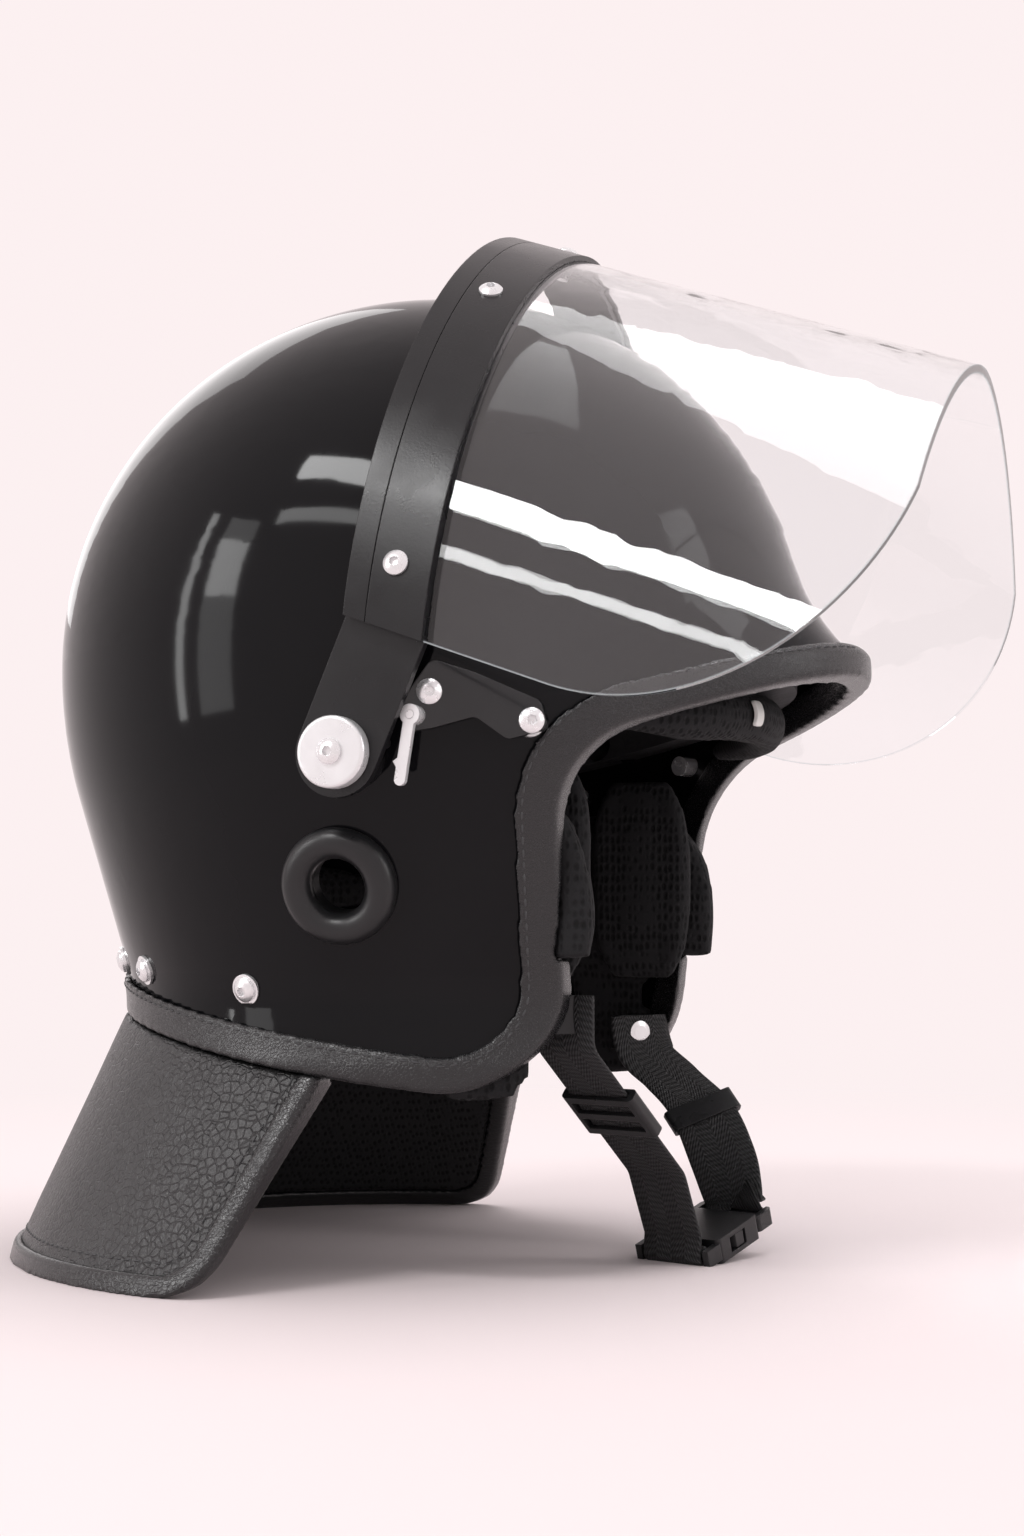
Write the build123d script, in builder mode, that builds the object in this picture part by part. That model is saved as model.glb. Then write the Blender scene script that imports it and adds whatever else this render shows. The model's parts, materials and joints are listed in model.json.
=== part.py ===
from build123d import *
import os
from math import sin, cos, tan, radians, degrees, sqrt, atan2

os.makedirs("parts", exist_ok=True)

# A protective helmet with a clear visor on a hinged hoop, shown with the visor raised.
# +X is the front, +Y the wearer's left, +Z up. The floor is Z = 0, and the origin is below
# the middle of the whole helmet. Every x below is counted from the shell's own centre.

# Common values
overrun = 40.0
seat_gap = 0.3
flush_gap = 0.05
turn_gap = 0.05

# Shell: an oval dome that narrows to the nape
half_length = 144.0
half_width = 125.0
width_share = half_width / half_length
shell_wall = 3.8
crown_z = 358.5
equator_z = 219.0
shoulder_radius = 173.0
shoulder_z = 167.0
waist_z = 104.0
waist_reach = 116.5
foot_z = 74.0
foot_reach = 118.5
skirt_z = 55.0

# Shell's edge as seen from the side
nape_edge_x = -135.0
nape_edge_z = 98.0
ear_edge_x = -45.0
ear_edge_z = 79.7
jaw_x = 74.0
jaw_z = 63.5
jaw_radius = 34.0
temple_x = 81.5
temple_z = 182.0
temple_radius = 43.0
brow_slope = 18.8
cut_x = 200.0
cut_z = 420.0

# Peak: the front of the shell flares out over the brow
peak_reach = 165.0
peak_half_width = 104.0
peak_depth = 4.5
peak_rise = 41.0
peak_rise_fall = 0.55
peak_tuck = 0.8
peak_turns = (-46.0, -34.0, -23.0, -11.5, 0.0, 11.5, 23.0, 34.0, 46.0)

# Edge trim: a soft channel over the shell's edge
trim_wall = 2.7
trim_base = 2.2
trim_reach = 10.3

# Ear ports
ear_x = 11.5
ear_z = 134.0
ear_hole_radius = 12.5
ear_bore_radius = 9.75
ear_ring_radius = 19.6
ear_ring_height = 7.0
ear_lip_radius = 15.5
ear_lip_height = 2.4

# Hinge of the visor
pivot_x = 20.5
pivot_z = 176.0
lug_radius = 14.5
spigot_radius = 6.0
boss_radius = 10.5
washer_radius = 12.0
washer_height = 0.8
disc_radius = 11.8
disc_height = 5.0
pivot_screw_radius = 2.5
screw_head_radius = 4.2
screw_head_height = 2.4
dome_shares = (0.6, 0.84)
torx_radius = 1.7
torx_depth = 1.4

# Visor hoop: a pointed arch that leans forward
hoop_x = 52.0
hoop_z = 210.0
hoop_lean = 5.3
hoop_half_width = 137.25
hoop_height = 161.6
hoop_power = 1.75
hoop_steps = 9
strip_wall = 2.0
visor_wall = 3.0
frame_wall = 3.0
band_depth = 29.0
ridge_depth = 8.0
band_overlap = 1.0
arm_lap = 4.0

# Visor sheet
visor_droop = 20.0
visor_reach = 153.9
visor_side_reach = 47.0
visor_curve_height = 122.0
visor_flare = 0.1

# Clamp screws on the hoop, by their angle round the arch
clamp_turns = (10.0, 54.0, 90.0, 126.0, 170.0)
clamp_setback = 12.5
clamp_screw_radius = 2.0
clamp_nut_radius = 3.6
clamp_nut_height = 2.4

# Catch beside each hinge
catch_lift = 4.0
catch_wall = 2.5
catch_front_x = 76.0
catch_front_z = 187.3
catch_rear_x = 46.7
catch_rear_z = 196.2
catch_outline = ((40.0, 191.3), (49.5, 206.4), (62.4, 202.1), (81.5, 193.2), (84.0, 184.0),
                 (71.9, 180.4), (62.4, 187.8), (50.0, 184.0), (42.0, 182.5))
catch_corner = 3.0
catch_spacer_radius = 5.0
catch_screw_radius = 2.0
catch_length = 18.0
catch_nut_radius = 4.0
catch_pocket_radius = 6.0
lever_top_x = 24.0
lever_top_z = 12.0
lever_foot_x = 20.6
lever_foot_z = -9.0
lever_half_width = 1.9
lever_wall = 2.0
lever_room = 0.6
lever_nose_x = 18.2
lever_nose_z = -3.0
lever_eye_radius = 3.4
lever_pin_radius = 1.4
lever_pin_length = 8.0
catch_pin_x = 15.0
catch_pin_z = 3.0
catch_pin_radius = 1.8
catch_pin_height = 2.4

# Nape guard
guard_slope = 9.0
guard_root_z = 72.0
guard_root_half_length = 117.0
guard_root_half_width = 101.0
guard_tab_half_length = 107.5
guard_tab_half_width = 92.6
guard_tab = 28.0
guard_tab_root = 4.0
guard_wall = 4.0
guard_lining_wall = 2.0
hem_x = -10.0
hem_half_length = 147.0
hem_half_width = 139.0
guard_front_x = 1.0
guard_front_z = 74.0
guard_corner_x = -28.0
guard_corner_radius = 20.0
piping_wall = 1.4
piping_base = 1.6
piping_reach = 5.0
nape_screw_places = ((26.0, 108.0), (46.0, 105.0), (75.5, 99.0))
nape_screw_radius = 2.0
nape_washer_radius = 5.4
nape_washer_height = 1.1
nape_nut_radius = 4.0
nape_nut_height = 3.0
nape_screw_length = 19.0

# Lining
liner_gap = 0.6
liner_wall = 20.0
pad_end_shares = (0.35, 0.75, 0.95, 1.0, 1.0, 1.0, 0.95, 0.75, 0.35)
pad_corner_shares = (0.62, 0.74)
crown_pad_wall = 9.0
crown_pad_radius = 62.0
crown_pad_start = 60.0
crown_pad_share = 0.9
brow_ring_radius = 88.0
brow_ring_x = 40.0
brow_pad_z = 180.0
brow_pad_tilt = 10.0
brow_pad_depth = 17.0
brow_pad_height = 19.0
brow_pad_turn = 52.0
nape_pad_z = 137.0
nape_pad_depth = 15.0
nape_pad_height = 30.0
nape_pad_turn = 55.0
cheek_outer = 104.0
cheek_stations = ((62.0, 56.0, 14.0, 77.0), (72.0, 56.0, 20.0, 75.0), (88.0, 56.0, 24.0, 74.5),
                  (100.0, 57.0, 28.0, 74.5), (114.0, 58.0, 31.0, 70.5), (132.0, 58.0, 31.0, 69.0),
                  (150.0, 56.0, 28.0, 70.5), (166.0, 54.0, 18.0, 76.0))
cheek_crown = 2.5
jaw_pad_z = 139.5
jaw_pad_height = 78.0
jaw_pad_x = 64.0
jaw_pad_length = 40.0
jaw_pad_inner = 57.0
jaw_pad_outer = 68.2
clip_y = -22.0
clip_width = 5.0
clip_height = 9.0
clip_wall = 1.2

# Chin buckle: its centre, its turn to the front and how far its left end is raised
buckle_x = 101.0
buckle_y = 13.0
buckle_turn = 20.0
buckle_rise = 16.0
rest_cut = 0.3
socket_back = 11.0
socket_front = 15.0
socket_width = 32.0
socket_height = 9.0
socket_wall = 1.6
socket_corner = 2.0
arm_end = 17.5
arm_width = 2.6
arm_height = 6.0
bar_place = 15.5
bar_radius = 1.5
window_start = -4.0
window_end = 6.0
window_height = 5.6
plug_base_length = 3.3
plug_end = 25.5
plug_width = 31.0
plug_height = 6.0
plug_bar_place = 22.6
tongue_end = -6.0
tongue_half_width = 4.0
tongue_wall = 3.0
prong_inner = 8.0
prong_wall = 3.5
prong_height = 5.0
prong_end = -2.0
prong_barb = 15.6
barb_start = -3.4
barb_end = 5.0

# Chin straps
web_width = 25.0
web_wall = 1.8
web_bend = 6.0
strap_run = 64.0
strap_top_z = 97.0
strap_bend_z = 79.0
strap_drop_run = 12.0
strap_drop_z = 33.0
left_stations = ((64.0, 58.0, 86.0, 50.0), (64.6, 57.9, 79.0, 49.5), (68.0, 57.6, 70.5, 46.0),
                 (78.0, 56.5, 62.0, 38.0), (92.0, 50.0, 50.0, 24.0), (101.5, 43.0, 34.0, 2.0),
                 (107.2, 36.2, 22.0, -18.0), (108.2, 33.8, 16.6, -20.0))
anchor_half_width = 8.0
anchor_height = 13.0
anchor_room = 0.6
anchor_reach = 30.0
left_anchor_reach = 6.0
left_anchor_width = 30.0
rivet_radius = 2.0
rivet_head_radius = 4.5
rivet_head_height = 1.2
rivet_depth = 7.0
slider_share = 0.5
slider_width = 31.0
slider_length = 20.0
slider_height = 5.4
slider_bar = 3.0
keeper_station = 4
keeper_width = 29.0
keeper_length = 9.0
keeper_height = 4.6
web_gap = 0.35

# Derived places
taper = atan2(half_length - shoulder_radius
              + sqrt(shoulder_radius ** 2 - (equator_z - shoulder_z) ** 2) - waist_reach,
              shoulder_z - waist_z)
visor_run = (cos(radians(visor_droop)), -sin(radians(visor_droop)))
front_reach = hoop_x + hoop_height * sin(radians(hoop_lean)) + visor_reach * visor_run[0]
back_reach = hem_half_length - hem_x + piping_wall
shell_x = (back_reach - front_reach) / 2


def save(piece, label):
    piece.label = label
    export_step(piece, f"parts/{label}.step")


def save_pair(piece, label):
    save(piece, label + "_right")
    save(mirror(piece, about=Plane.XZ), label + "_left")


# Planes
side = Plane(origin=(shell_x, 0, 0), x_dir=(1, 0, 0), z_dir=(0, -1, 0))
rear_side = Plane(origin=(shell_x, 0, 0), x_dir=(-1, 0, 0), z_dir=(0, 1, 0))
upright = Axis((shell_x, 0, 0), (0, 0, 1))
hoop = Plane(origin=(shell_x + hoop_x, 0, hoop_z), x_dir=(0, 1, 0),
             z_dir=(cos(radians(hoop_lean)), 0, -sin(radians(hoop_lean))))
run_dir = Vector(visor_run[0], 0, visor_run[1])


def side_at(reach):
    """The side plane moved out to the wearer's right by reach."""
    return Plane(origin=(shell_x, -reach, 0), x_dir=(1, 0, 0), z_dir=(0, -1, 0))


# Shell's surface as a formula
def skin_reach(z):
    """Half length of the shell's outside at height z, and its slope."""
    if z >= equator_z:
        rise = (z - equator_z) / (crown_z - equator_z)
        return (half_length * sqrt(1 - rise ** 2),
                -half_length * rise / (crown_z - equator_z) / sqrt(1 - rise ** 2))
    drop = equator_z - max(z, shoulder_z)
    arc = sqrt(shoulder_radius ** 2 - drop ** 2)
    reach = half_length - shoulder_radius + arc
    if z >= shoulder_z:
        return reach, drop / arc
    return reach - (shoulder_z - z) * tan(taper), tan(taper)


def skin_plane(x, z):
    """A plane on the shell's right side, with its z axis straight out of the shell."""
    reach, slope = skin_reach(z)
    y = -width_share * sqrt(reach ** 2 - x ** 2)
    out = Vector(x, y / width_share ** 2, -reach * slope).normalized()
    return Plane(origin=(shell_x + x, y, z), x_dir=(-out.Y, out.X, 0), z_dir=out)


def flipped(plane):
    """The same plane on the wearer's left."""
    o, x, n = plane.origin, plane.x_dir, plane.z_dir
    return Plane(origin=(o.X, -o.Y, o.Z), x_dir=(x.X, -x.Y, x.Z), z_dir=(n.X, -n.Y, n.Z))


def both_sides(planes):
    return list(planes) + [flipped(p) for p in planes]


def helmet_form(grow):
    """The space inside the shell's outer surface, grown by a distance, with the peak."""
    length = half_length + grow
    top = crown_z + grow
    with BuildPart() as form:
        with BuildSketch(rear_side):
            with BuildLine():
                crown = EllipticalCenterArc((0, equator_z), length, top - equator_z, start_angle=0, arc_size=90)
                shoulder_x = length - half_length + skin_reach(shoulder_z)[0]
                shoulder = TangentArc(crown @ 0, (shoulder_x, shoulder_z), tangent=(0, -1))
                flank = Line(shoulder @ 1, (waist_reach + grow, waist_z))
                foot = TangentArc(flank @ 1, (foot_reach + grow, foot_z), tangent=flank % 1)
                Polyline(foot @ 1, (foot_reach + grow, skirt_z), (0, skirt_z), crown @ 1)
            make_face()
        revolve(axis=upright)
        scale(by=(1, (half_width + grow) / length, 1))
        for turn in peak_turns:
            with BuildSketch(peak_plane(turn)):
                with BuildLine():
                    tip_r = peak_radius(turn, grow)
                    tip_z = peak_height(turn) + grow
                    rise = peak_rise * (1 - peak_rise_fall * (turn / peak_turns[-1]) ** 2)
                    root_r, lean = dome_radius(turn, tip_z + rise, grow)
                    root_r = root_r - peak_tuck * (turn / peak_turns[-1]) ** 6
                    flare = TangentArc((root_r, tip_z + rise), (tip_r, tip_z), tangent=(-lean, -1))
                    inner_r = root_r - half_length / 2
                    Polyline(flare @ 1, (tip_r, equator_z / 2), (inner_r, equator_z / 2),
                             (inner_r, tip_z + rise), flare @ 0)
                make_face()
        loft()
    return form.part


def peak_plane(turn):
    c, s = cos(radians(turn)), sin(radians(turn))
    return Plane(origin=(shell_x, 0, 0), x_dir=(c, s, 0), z_dir=(s, -c, 0))


def peak_radius(turn, grow):
    c, s = cos(radians(turn)), sin(radians(turn))
    return 1 / sqrt((c / (peak_reach + grow)) ** 2 + (s / (peak_half_width + grow)) ** 2)


def peak_height(turn):
    x = peak_radius(turn, 0) * cos(radians(turn))
    return temple_z + (x - temple_x) * tan(radians(brow_slope)) + peak_depth


def dome_radius(turn, z, grow):
    """Plan radius of the plain dome in a direction, and how fast it shrinks with height."""
    c, s = cos(radians(turn)), sin(radians(turn))
    length = half_length + grow
    tall = crown_z + grow - equator_z
    spread = sqrt(c ** 2 + (s * length / (half_width + grow)) ** 2)
    rise = (z - equator_z) / tall
    if rise < 0:
        drop = equator_z - z
        arc = sqrt(shoulder_radius ** 2 - drop ** 2)
        return (length - shoulder_radius + arc) / spread, drop / arc / spread
    return length * sqrt(1 - rise ** 2) / spread, -length * rise / tall / sqrt(1 - rise ** 2) / spread


# The part of the side view that the shell keeps
brow_end_z = temple_z + (cut_x - temple_x) * tan(radians(brow_slope))
with BuildSketch() as edge_sketch:
    with BuildLine():
        sole = ThreePointArc((jaw_x, jaw_z), (ear_edge_x, ear_edge_z), (nape_edge_x, nape_edge_z))
        Polyline(sole @ 1, (-cut_x, nape_edge_z), (-cut_x, cut_z), (cut_x, cut_z),
                 (cut_x, brow_end_z), (temple_x, temple_z), sole @ 0)
    make_face()
    fillet(edge_sketch.vertices().sort_by_distance((jaw_x, jaw_z))[0], radius=jaw_radius)
    fillet(edge_sketch.vertices().sort_by_distance((temple_x, temple_z))[0], radius=temple_radius)
edge_face = edge_sketch.sketch

outer_form = helmet_form(0)
inner_form = helmet_form(-shell_wall)


def solid_inside(form, face, plane):
    """The part of a form that lies within a side-view outline."""
    with BuildPart() as piece:
        add(form)
        with BuildSketch(plane):
            add(face)
        extrude(amount=hem_half_width + overrun, both=True, mode=Mode.INTERSECT)
    return piece.part


# Places of the fasteners on the shell's right side
def pivot_plane(reach):
    """The side plane at a reach, with its origin on the visor's axis."""
    return Plane(origin=(shell_x + pivot_x, -reach, pivot_z), x_dir=(1, 0, 0), z_dir=(0, -1, 0))


def lifted(plane, lift):
    return plane.origin + plane.z_dir * lift


ear_plane = skin_plane(ear_x, ear_z)
catch_rear = lifted(skin_plane(catch_rear_x, catch_rear_z), catch_lift)
catch_front = lifted(skin_plane(catch_front_x, catch_front_z), catch_lift)
catch_along = (catch_front - catch_rear).normalized()
catch_out = catch_along.cross(Vector(0, 0, 1)).normalized()
catch_rear_plane = Plane(origin=catch_rear, x_dir=catch_along, z_dir=catch_out)
catch_front_plane = Plane(origin=catch_front, x_dir=catch_along, z_dir=catch_out)
catch_planes = [catch_front_plane, catch_rear_plane]
nape_planes = [skin_plane(-skin_reach(z)[0] * cos(radians(turn)), z) for turn, z in nape_screw_places]

# Layers of the hoop and hinge, counted outwards from the middle of the helmet
frame_outer_y = hoop_half_width - strip_wall - visor_wall
frame_inner_y = frame_outer_y - frame_wall
washer_face_y = frame_inner_y - seat_gap
boss_face_y = washer_face_y - washer_height
spigot_face_y = frame_outer_y + seat_gap
disc_face_y = spigot_face_y + disc_height

# Shell
with BuildPart() as shell:
    add(solid_inside(outer_form, edge_face, side))
    add(inner_form, mode=Mode.SUBTRACT)
    with Locations(*[Location(p) for p in both_sides([ear_plane])]):
        Cylinder(ear_hole_radius, overrun, mode=Mode.SUBTRACT)
    with Locations(*[Location(p) for p in both_sides(nape_planes)]):
        Cylinder(nape_screw_radius + flush_gap, overrun, mode=Mode.SUBTRACT)
    with Locations(*[Location(p) for p in both_sides(catch_planes)]):
        Cylinder(catch_screw_radius + flush_gap, overrun, mode=Mode.SUBTRACT)
    with BuildSketch(side):
        with Locations((pivot_x, pivot_z)):
            Circle(pivot_screw_radius + flush_gap)
    extrude(amount=half_width + overrun, both=True, mode=Mode.SUBTRACT)
save(shell.part, "shell")

# Edge trim: wraps both faces of the shell's edge all the way round
with BuildPart() as edge_trim:
    add(helmet_form(trim_wall))
    add(helmet_form(-shell_wall - trim_wall), mode=Mode.SUBTRACT)
    with BuildSketch(side):
        offset(edge_face, amount=trim_base)
        offset(edge_face, amount=-trim_reach, mode=Mode.SUBTRACT)
    extrude(amount=half_width + overrun, both=True, mode=Mode.INTERSECT)
    add(shell.part, mode=Mode.SUBTRACT)
save(edge_trim.part, "edge_trim")


def turned(plane, points_line):
    """A solid of revolution about a plane's z axis from a closed outline of (radius, height)."""
    with BuildPart() as piece:
        with BuildSketch(Plane(origin=plane.origin, x_dir=plane.x_dir, z_dir=plane.y_dir * -1)):
            with BuildLine():
                Polyline(*points_line, close=True)
            make_face()
        revolve(axis=Axis(plane.origin, plane.z_dir))
    return piece.part


def ring(plane, outer, inner, height):
    """A flat ring that stands on a plane."""
    return turned(plane, ((inner, 0), (outer, 0), (outer, height), (inner, height)))


def dome_screw(plane, radius, length):
    """A screw with a domed head and a six-sided socket, with its head on a plane."""
    with BuildPart() as screw:
        with BuildSketch(Plane(origin=plane.origin, x_dir=plane.x_dir, z_dir=plane.y_dir * -1)):
            with BuildLine():
                brim = (screw_head_radius, screw_head_height / 3)
                Polyline((0, screw_head_height), (0, -length), (radius, -length), (radius, 0),
                         (screw_head_radius, 0), brim)
                ThreePointArc(brim, (screw_head_radius * dome_shares[0], screw_head_height * dome_shares[1]),
                              (0, screw_head_height))
            make_face()
        revolve(axis=Axis(plane.origin, plane.z_dir))
        with BuildSketch(plane.offset(screw_head_height - torx_depth)):
            RegularPolygon(torx_radius, 6)
        extrude(amount=2 * torx_depth, mode=Mode.SUBTRACT)
    return screw.part


def joined(pieces):
    """Several separate solids that share one node."""
    return Compound(children=[Part(p.wrapped) for p in pieces])


def mirrored(pieces):
    return list(pieces) + [mirror(p, about=Plane.XZ) for p in pieces]


def fitted(pieces, hollow):
    """Pieces cut so that they follow another body's surface."""
    cut = []
    for piece in pieces:
        rest = (piece - hollow).solids().sort_by(SortBy.VOLUME)
        cut.append(rest[-1])
    return cut


# Ear grommets
with BuildPart() as ear_grommet:
    with BuildSketch(Plane(origin=ear_plane.origin, x_dir=ear_plane.x_dir, z_dir=ear_plane.y_dir * -1)):
        with BuildLine():
            neck = ear_hole_radius - flush_gap
            lip = -shell_wall - ear_lip_height
            rim = (ear_ring_radius, 0)
            Polyline((ear_bore_radius, 0), (ear_bore_radius, lip), (ear_lip_radius, lip),
                     (ear_lip_radius, -shell_wall), (neck, -shell_wall), (neck, -shell_wall / 2),
                     (ear_ring_radius, -shell_wall / 2), rim)
            ThreePointArc(rim, ((ear_ring_radius + ear_bore_radius) / 2, ear_ring_height),
                          (ear_bore_radius, 0))
        make_face()
    revolve(axis=Axis(ear_plane.origin, ear_plane.z_dir))
grommet = fitted([ear_grommet.part], shell.part)[0]
save_pair(Part(grommet.wrapped), "ear_grommet")

# Hinge: boss with the spigot that the lug turns on, washer, disc, screw and nut
shell_pivot_y = width_share * sqrt(skin_reach(pivot_z)[0] ** 2 - pivot_x ** 2)
with BuildPart() as pivot_boss:
    with BuildSketch(pivot_plane(0)):
        Circle(boss_radius)
    extrude(amount=boss_face_y)
    with BuildSketch(pivot_plane(0)):
        Circle(spigot_radius)
    extrude(amount=spigot_face_y)
    add(outer_form, mode=Mode.SUBTRACT)
    with BuildSketch(pivot_plane(0)):
        Circle(pivot_screw_radius + flush_gap)
    extrude(amount=spigot_face_y, mode=Mode.SUBTRACT)
save_pair(pivot_boss.part, "pivot_boss")
pivot_washer = ring(pivot_plane(boss_face_y), washer_radius, spigot_radius + turn_gap, washer_height)
save(joined(mirrored([pivot_washer])), "pivot_washers")
with BuildPart() as pivot_disc:
    add(ring(pivot_plane(spigot_face_y), disc_radius, pivot_screw_radius + flush_gap, disc_height))
    fillet(pivot_disc.edges().filter_by(GeomType.CIRCLE).group_by(Axis.Y)[0].sort_by(SortBy.LENGTH)[-1],
           radius=disc_height / 4)
save_pair(pivot_disc.part, "pivot_disc")
pivot_nut_y = shell_pivot_y - shell_wall - nape_nut_height
pivot_screw = dome_screw(pivot_plane(disc_face_y), pivot_screw_radius, disc_face_y - pivot_nut_y)
save(joined(mirrored([pivot_screw])), "pivot_screws")
pivot_nut = ring(pivot_plane(pivot_nut_y), nape_nut_radius * 1.2, pivot_screw_radius + flush_gap,
                 nape_nut_height * 2)
save(joined(mirrored(fitted([pivot_nut], shell.part))), "pivot_nuts")


# Hoop
def arch_normal(y, q):
    """Direction out of the arch at a point given as shares of its half width and height."""
    ny = abs(y) ** (hoop_power - 1) / hoop_half_width
    nq = q ** (hoop_power - 1) / hoop_height
    size = sqrt(ny ** 2 + nq ** 2)
    return (ny / size if y > 0 else -ny / size), nq / size


def hoop_points(inset, spread):
    """Points of the arch, from the wearer's right over the top, moved in by inset."""
    points = []
    for step in range(-hoop_steps, hoop_steps + 1):
        turn = radians(90 * (1 - abs(step) / hoop_steps))
        y = cos(turn) ** (2 / hoop_power) * (1 if step > 0 else -1)
        q = sin(turn) ** (2 / hoop_power)
        ny, nq = arch_normal(y, q)
        points.append((hoop_half_width * y * spread - inset * ny, hoop_height * q - inset * nq))
    return points


def hoop_at(run):
    return Plane(origin=hoop.origin + run_dir * run, x_dir=hoop.x_dir, z_dir=hoop.z_dir)


def hoop_band(run, outer, inner, spread=1.0):
    """The face between two insets of the arch."""
    with BuildSketch() as band:
        with BuildLine():
            out = Spline(*hoop_points(outer, spread))
            into = Spline(*hoop_points(inner, spread))
            Line(out @ 0, into @ 0)
            Line(out @ 1, into @ 1)
        make_face()
    return hoop_at(run) * band.sketch


def band_solid(outer, inner, start, end):
    return extrude(hoop_band(start, outer, inner), amount=end - start, dir=run_dir)


def hoop_place(turn, run, inset):
    """A plane on the arch at an angle, with its z axis out of the band."""
    y = abs(cos(radians(turn))) ** (2 / hoop_power) * (-1 if turn < 90 else 1)
    q = sin(radians(turn)) ** (2 / hoop_power)
    ny, nq = arch_normal(y, q)
    along = hoop.x_dir * nq - hoop.y_dir * ny
    out = run_dir.cross(along).normalized()
    flat = hoop.x_dir * ny + hoop.y_dir * nq
    place = hoop.origin + hoop.x_dir * (y * hoop_half_width) + hoop.y_dir * (q * hoop_height)
    return Plane(origin=place + run_dir * run - out * (inset * flat.dot(out)), x_dir=along, z_dir=out)


clamp_planes = [hoop_place(turn, -clamp_setback, 0) for turn in clamp_turns]
frame_inset = strip_wall + visor_wall
inside_inset = frame_inset + frame_wall
with BuildPart() as clamp_holes:
    with Locations(*[Location(p) for p in clamp_planes]):
        Cylinder(clamp_screw_radius + flush_gap, overrun / 2)

with BuildPart() as clamp_strip:
    add(band_solid(0, strip_wall - flush_gap, -band_depth + ridge_depth + seat_gap, 0))
    add(clamp_holes.part, mode=Mode.SUBTRACT)
save(clamp_strip.part, "clamp_strip")

with BuildPart() as hinge_arm:
    with BuildSketch(pivot_plane(frame_inner_y)):
        Circle(lug_radius)
        with BuildLine():
            base = [(hoop_x - pivot_x + run * visor_run[0], hoop_z - pivot_z + run * visor_run[1])
                    for run in (-band_depth, -band_overlap)]
            lean_x = arm_lap * sin(radians(hoop_lean))
            Polyline(base[0], base[1], (base[1][0] + lean_x, base[1][1] + arm_lap),
                     (base[0][0] + lean_x, base[0][1] + arm_lap), base[0])
        make_face()
        make_hull()
        Circle(spigot_radius + turn_gap, mode=Mode.SUBTRACT)
    extrude(amount=frame_wall)
    with BuildSketch(pivot_plane(frame_inner_y)):
        with Locations((catch_pin_x, catch_pin_z)):
            Circle(catch_pin_radius)
    extrude(amount=-catch_pin_height)
with BuildPart() as visor_frame:
    add(band_solid(frame_inset + flush_gap, inside_inset, -band_depth, -band_overlap))
    add(band_solid(0, frame_inset + frame_wall / 2, -band_depth, -band_depth + ridge_depth))
    add(hinge_arm.part)
    add(mirror(hinge_arm.part, about=Plane.XZ))
    add(band_solid(0, frame_inset + flush_gap, -band_depth + ridge_depth, overrun), mode=Mode.SUBTRACT)
    add(clamp_holes.part, mode=Mode.SUBTRACT)
save(visor_frame.part, "visor_frame")


def side_point(run, rise):
    """Side-view place of a point at a run along the visor and a rise up the hoop."""
    lean = radians(hoop_lean)
    return hoop_x + run * visor_run[0] + rise * sin(lean), hoop_z + run * visor_run[1] + rise * cos(lean)


visor_start = hoop_band(0, strip_wall, frame_inset)
visor_end = hoop_band(visor_reach, strip_wall, frame_inset, 1 + visor_flare * visor_reach / 100)
with BuildPart() as visor:
    loft([visor_start.face(), visor_end.face()], ruled=True)
    add(band_solid(strip_wall, frame_inset, -band_depth + ridge_depth + 1, 0))
    with BuildSketch(side):
        with BuildLine():
            bend = visor_reach - visor_side_reach
            half_turn = radians(90 / 2)
            chin = ThreePointArc(side_point(visor_side_reach, 0),
                                 side_point(visor_side_reach + bend * sin(half_turn),
                                            visor_curve_height * (1 - cos(half_turn))),
                                 side_point(visor_reach, visor_curve_height))
            Polyline(chin @ 1, (2 * cut_x, (chin @ 1).Y), (2 * cut_x, cut_z), (0, cut_z), (0, 0),
                     ((chin @ 0).X, 0), chin @ 0)
        make_face()
    extrude(amount=cut_x, both=True, mode=Mode.INTERSECT)
    add(clamp_holes.part, mode=Mode.SUBTRACT)
save(visor.part, "visor")

clamp_seats = [hoop_place(turn, -clamp_setback, inside_inset) for turn in clamp_turns]
clamp_lengths = [(a.origin - b.origin).length + clamp_nut_height for a, b in zip(clamp_planes, clamp_seats)]
save(joined([dome_screw(p, clamp_screw_radius, reach) for p, reach in zip(clamp_planes, clamp_lengths)]),
     "clamp_screws")
clamp_nuts = [ring(p.offset(-clamp_nut_height), clamp_nut_radius, clamp_screw_radius + flush_gap,
                   clamp_nut_height) for p in clamp_seats]
save(joined(fitted(clamp_nuts, visor_frame.part)), "clamp_nuts")

# Catch beside each hinge: a plate on two spacers, with a small lever that hangs from a pin
with BuildPart() as catch_plate:
    with BuildSketch(side_at(0)) as catch_sketch:
        with BuildLine():
            Polyline(*catch_outline, close=True)
        make_face()
        fillet(catch_sketch.vertices(), radius=catch_corner)
    extrude(amount=half_width + overrun)
    with BuildSketch(catch_rear_plane):
        Rectangle(cut_x, cut_x)
    extrude(amount=catch_wall, mode=Mode.INTERSECT)
    with Locations(*[Location(p) for p in catch_planes]):
        Cylinder(catch_screw_radius + flush_gap, overrun, mode=Mode.SUBTRACT)
    lever_top = (pivot_x + lever_top_x, pivot_z + lever_top_z)
    with BuildSketch(side_at(0)):
        with Locations(lever_top):
            Circle(lever_pin_radius + flush_gap)
    extrude(amount=half_width + overrun, mode=Mode.SUBTRACT)
save_pair(catch_plate.part, "catch_plate")
catch_spacers = [ring(p.offset(-overrun / 2), catch_spacer_radius, catch_screw_radius + flush_gap,
                      overrun / 2) for p in catch_planes]
save(joined(mirrored(fitted(catch_spacers, outer_form))), "catch_spacers")
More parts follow.
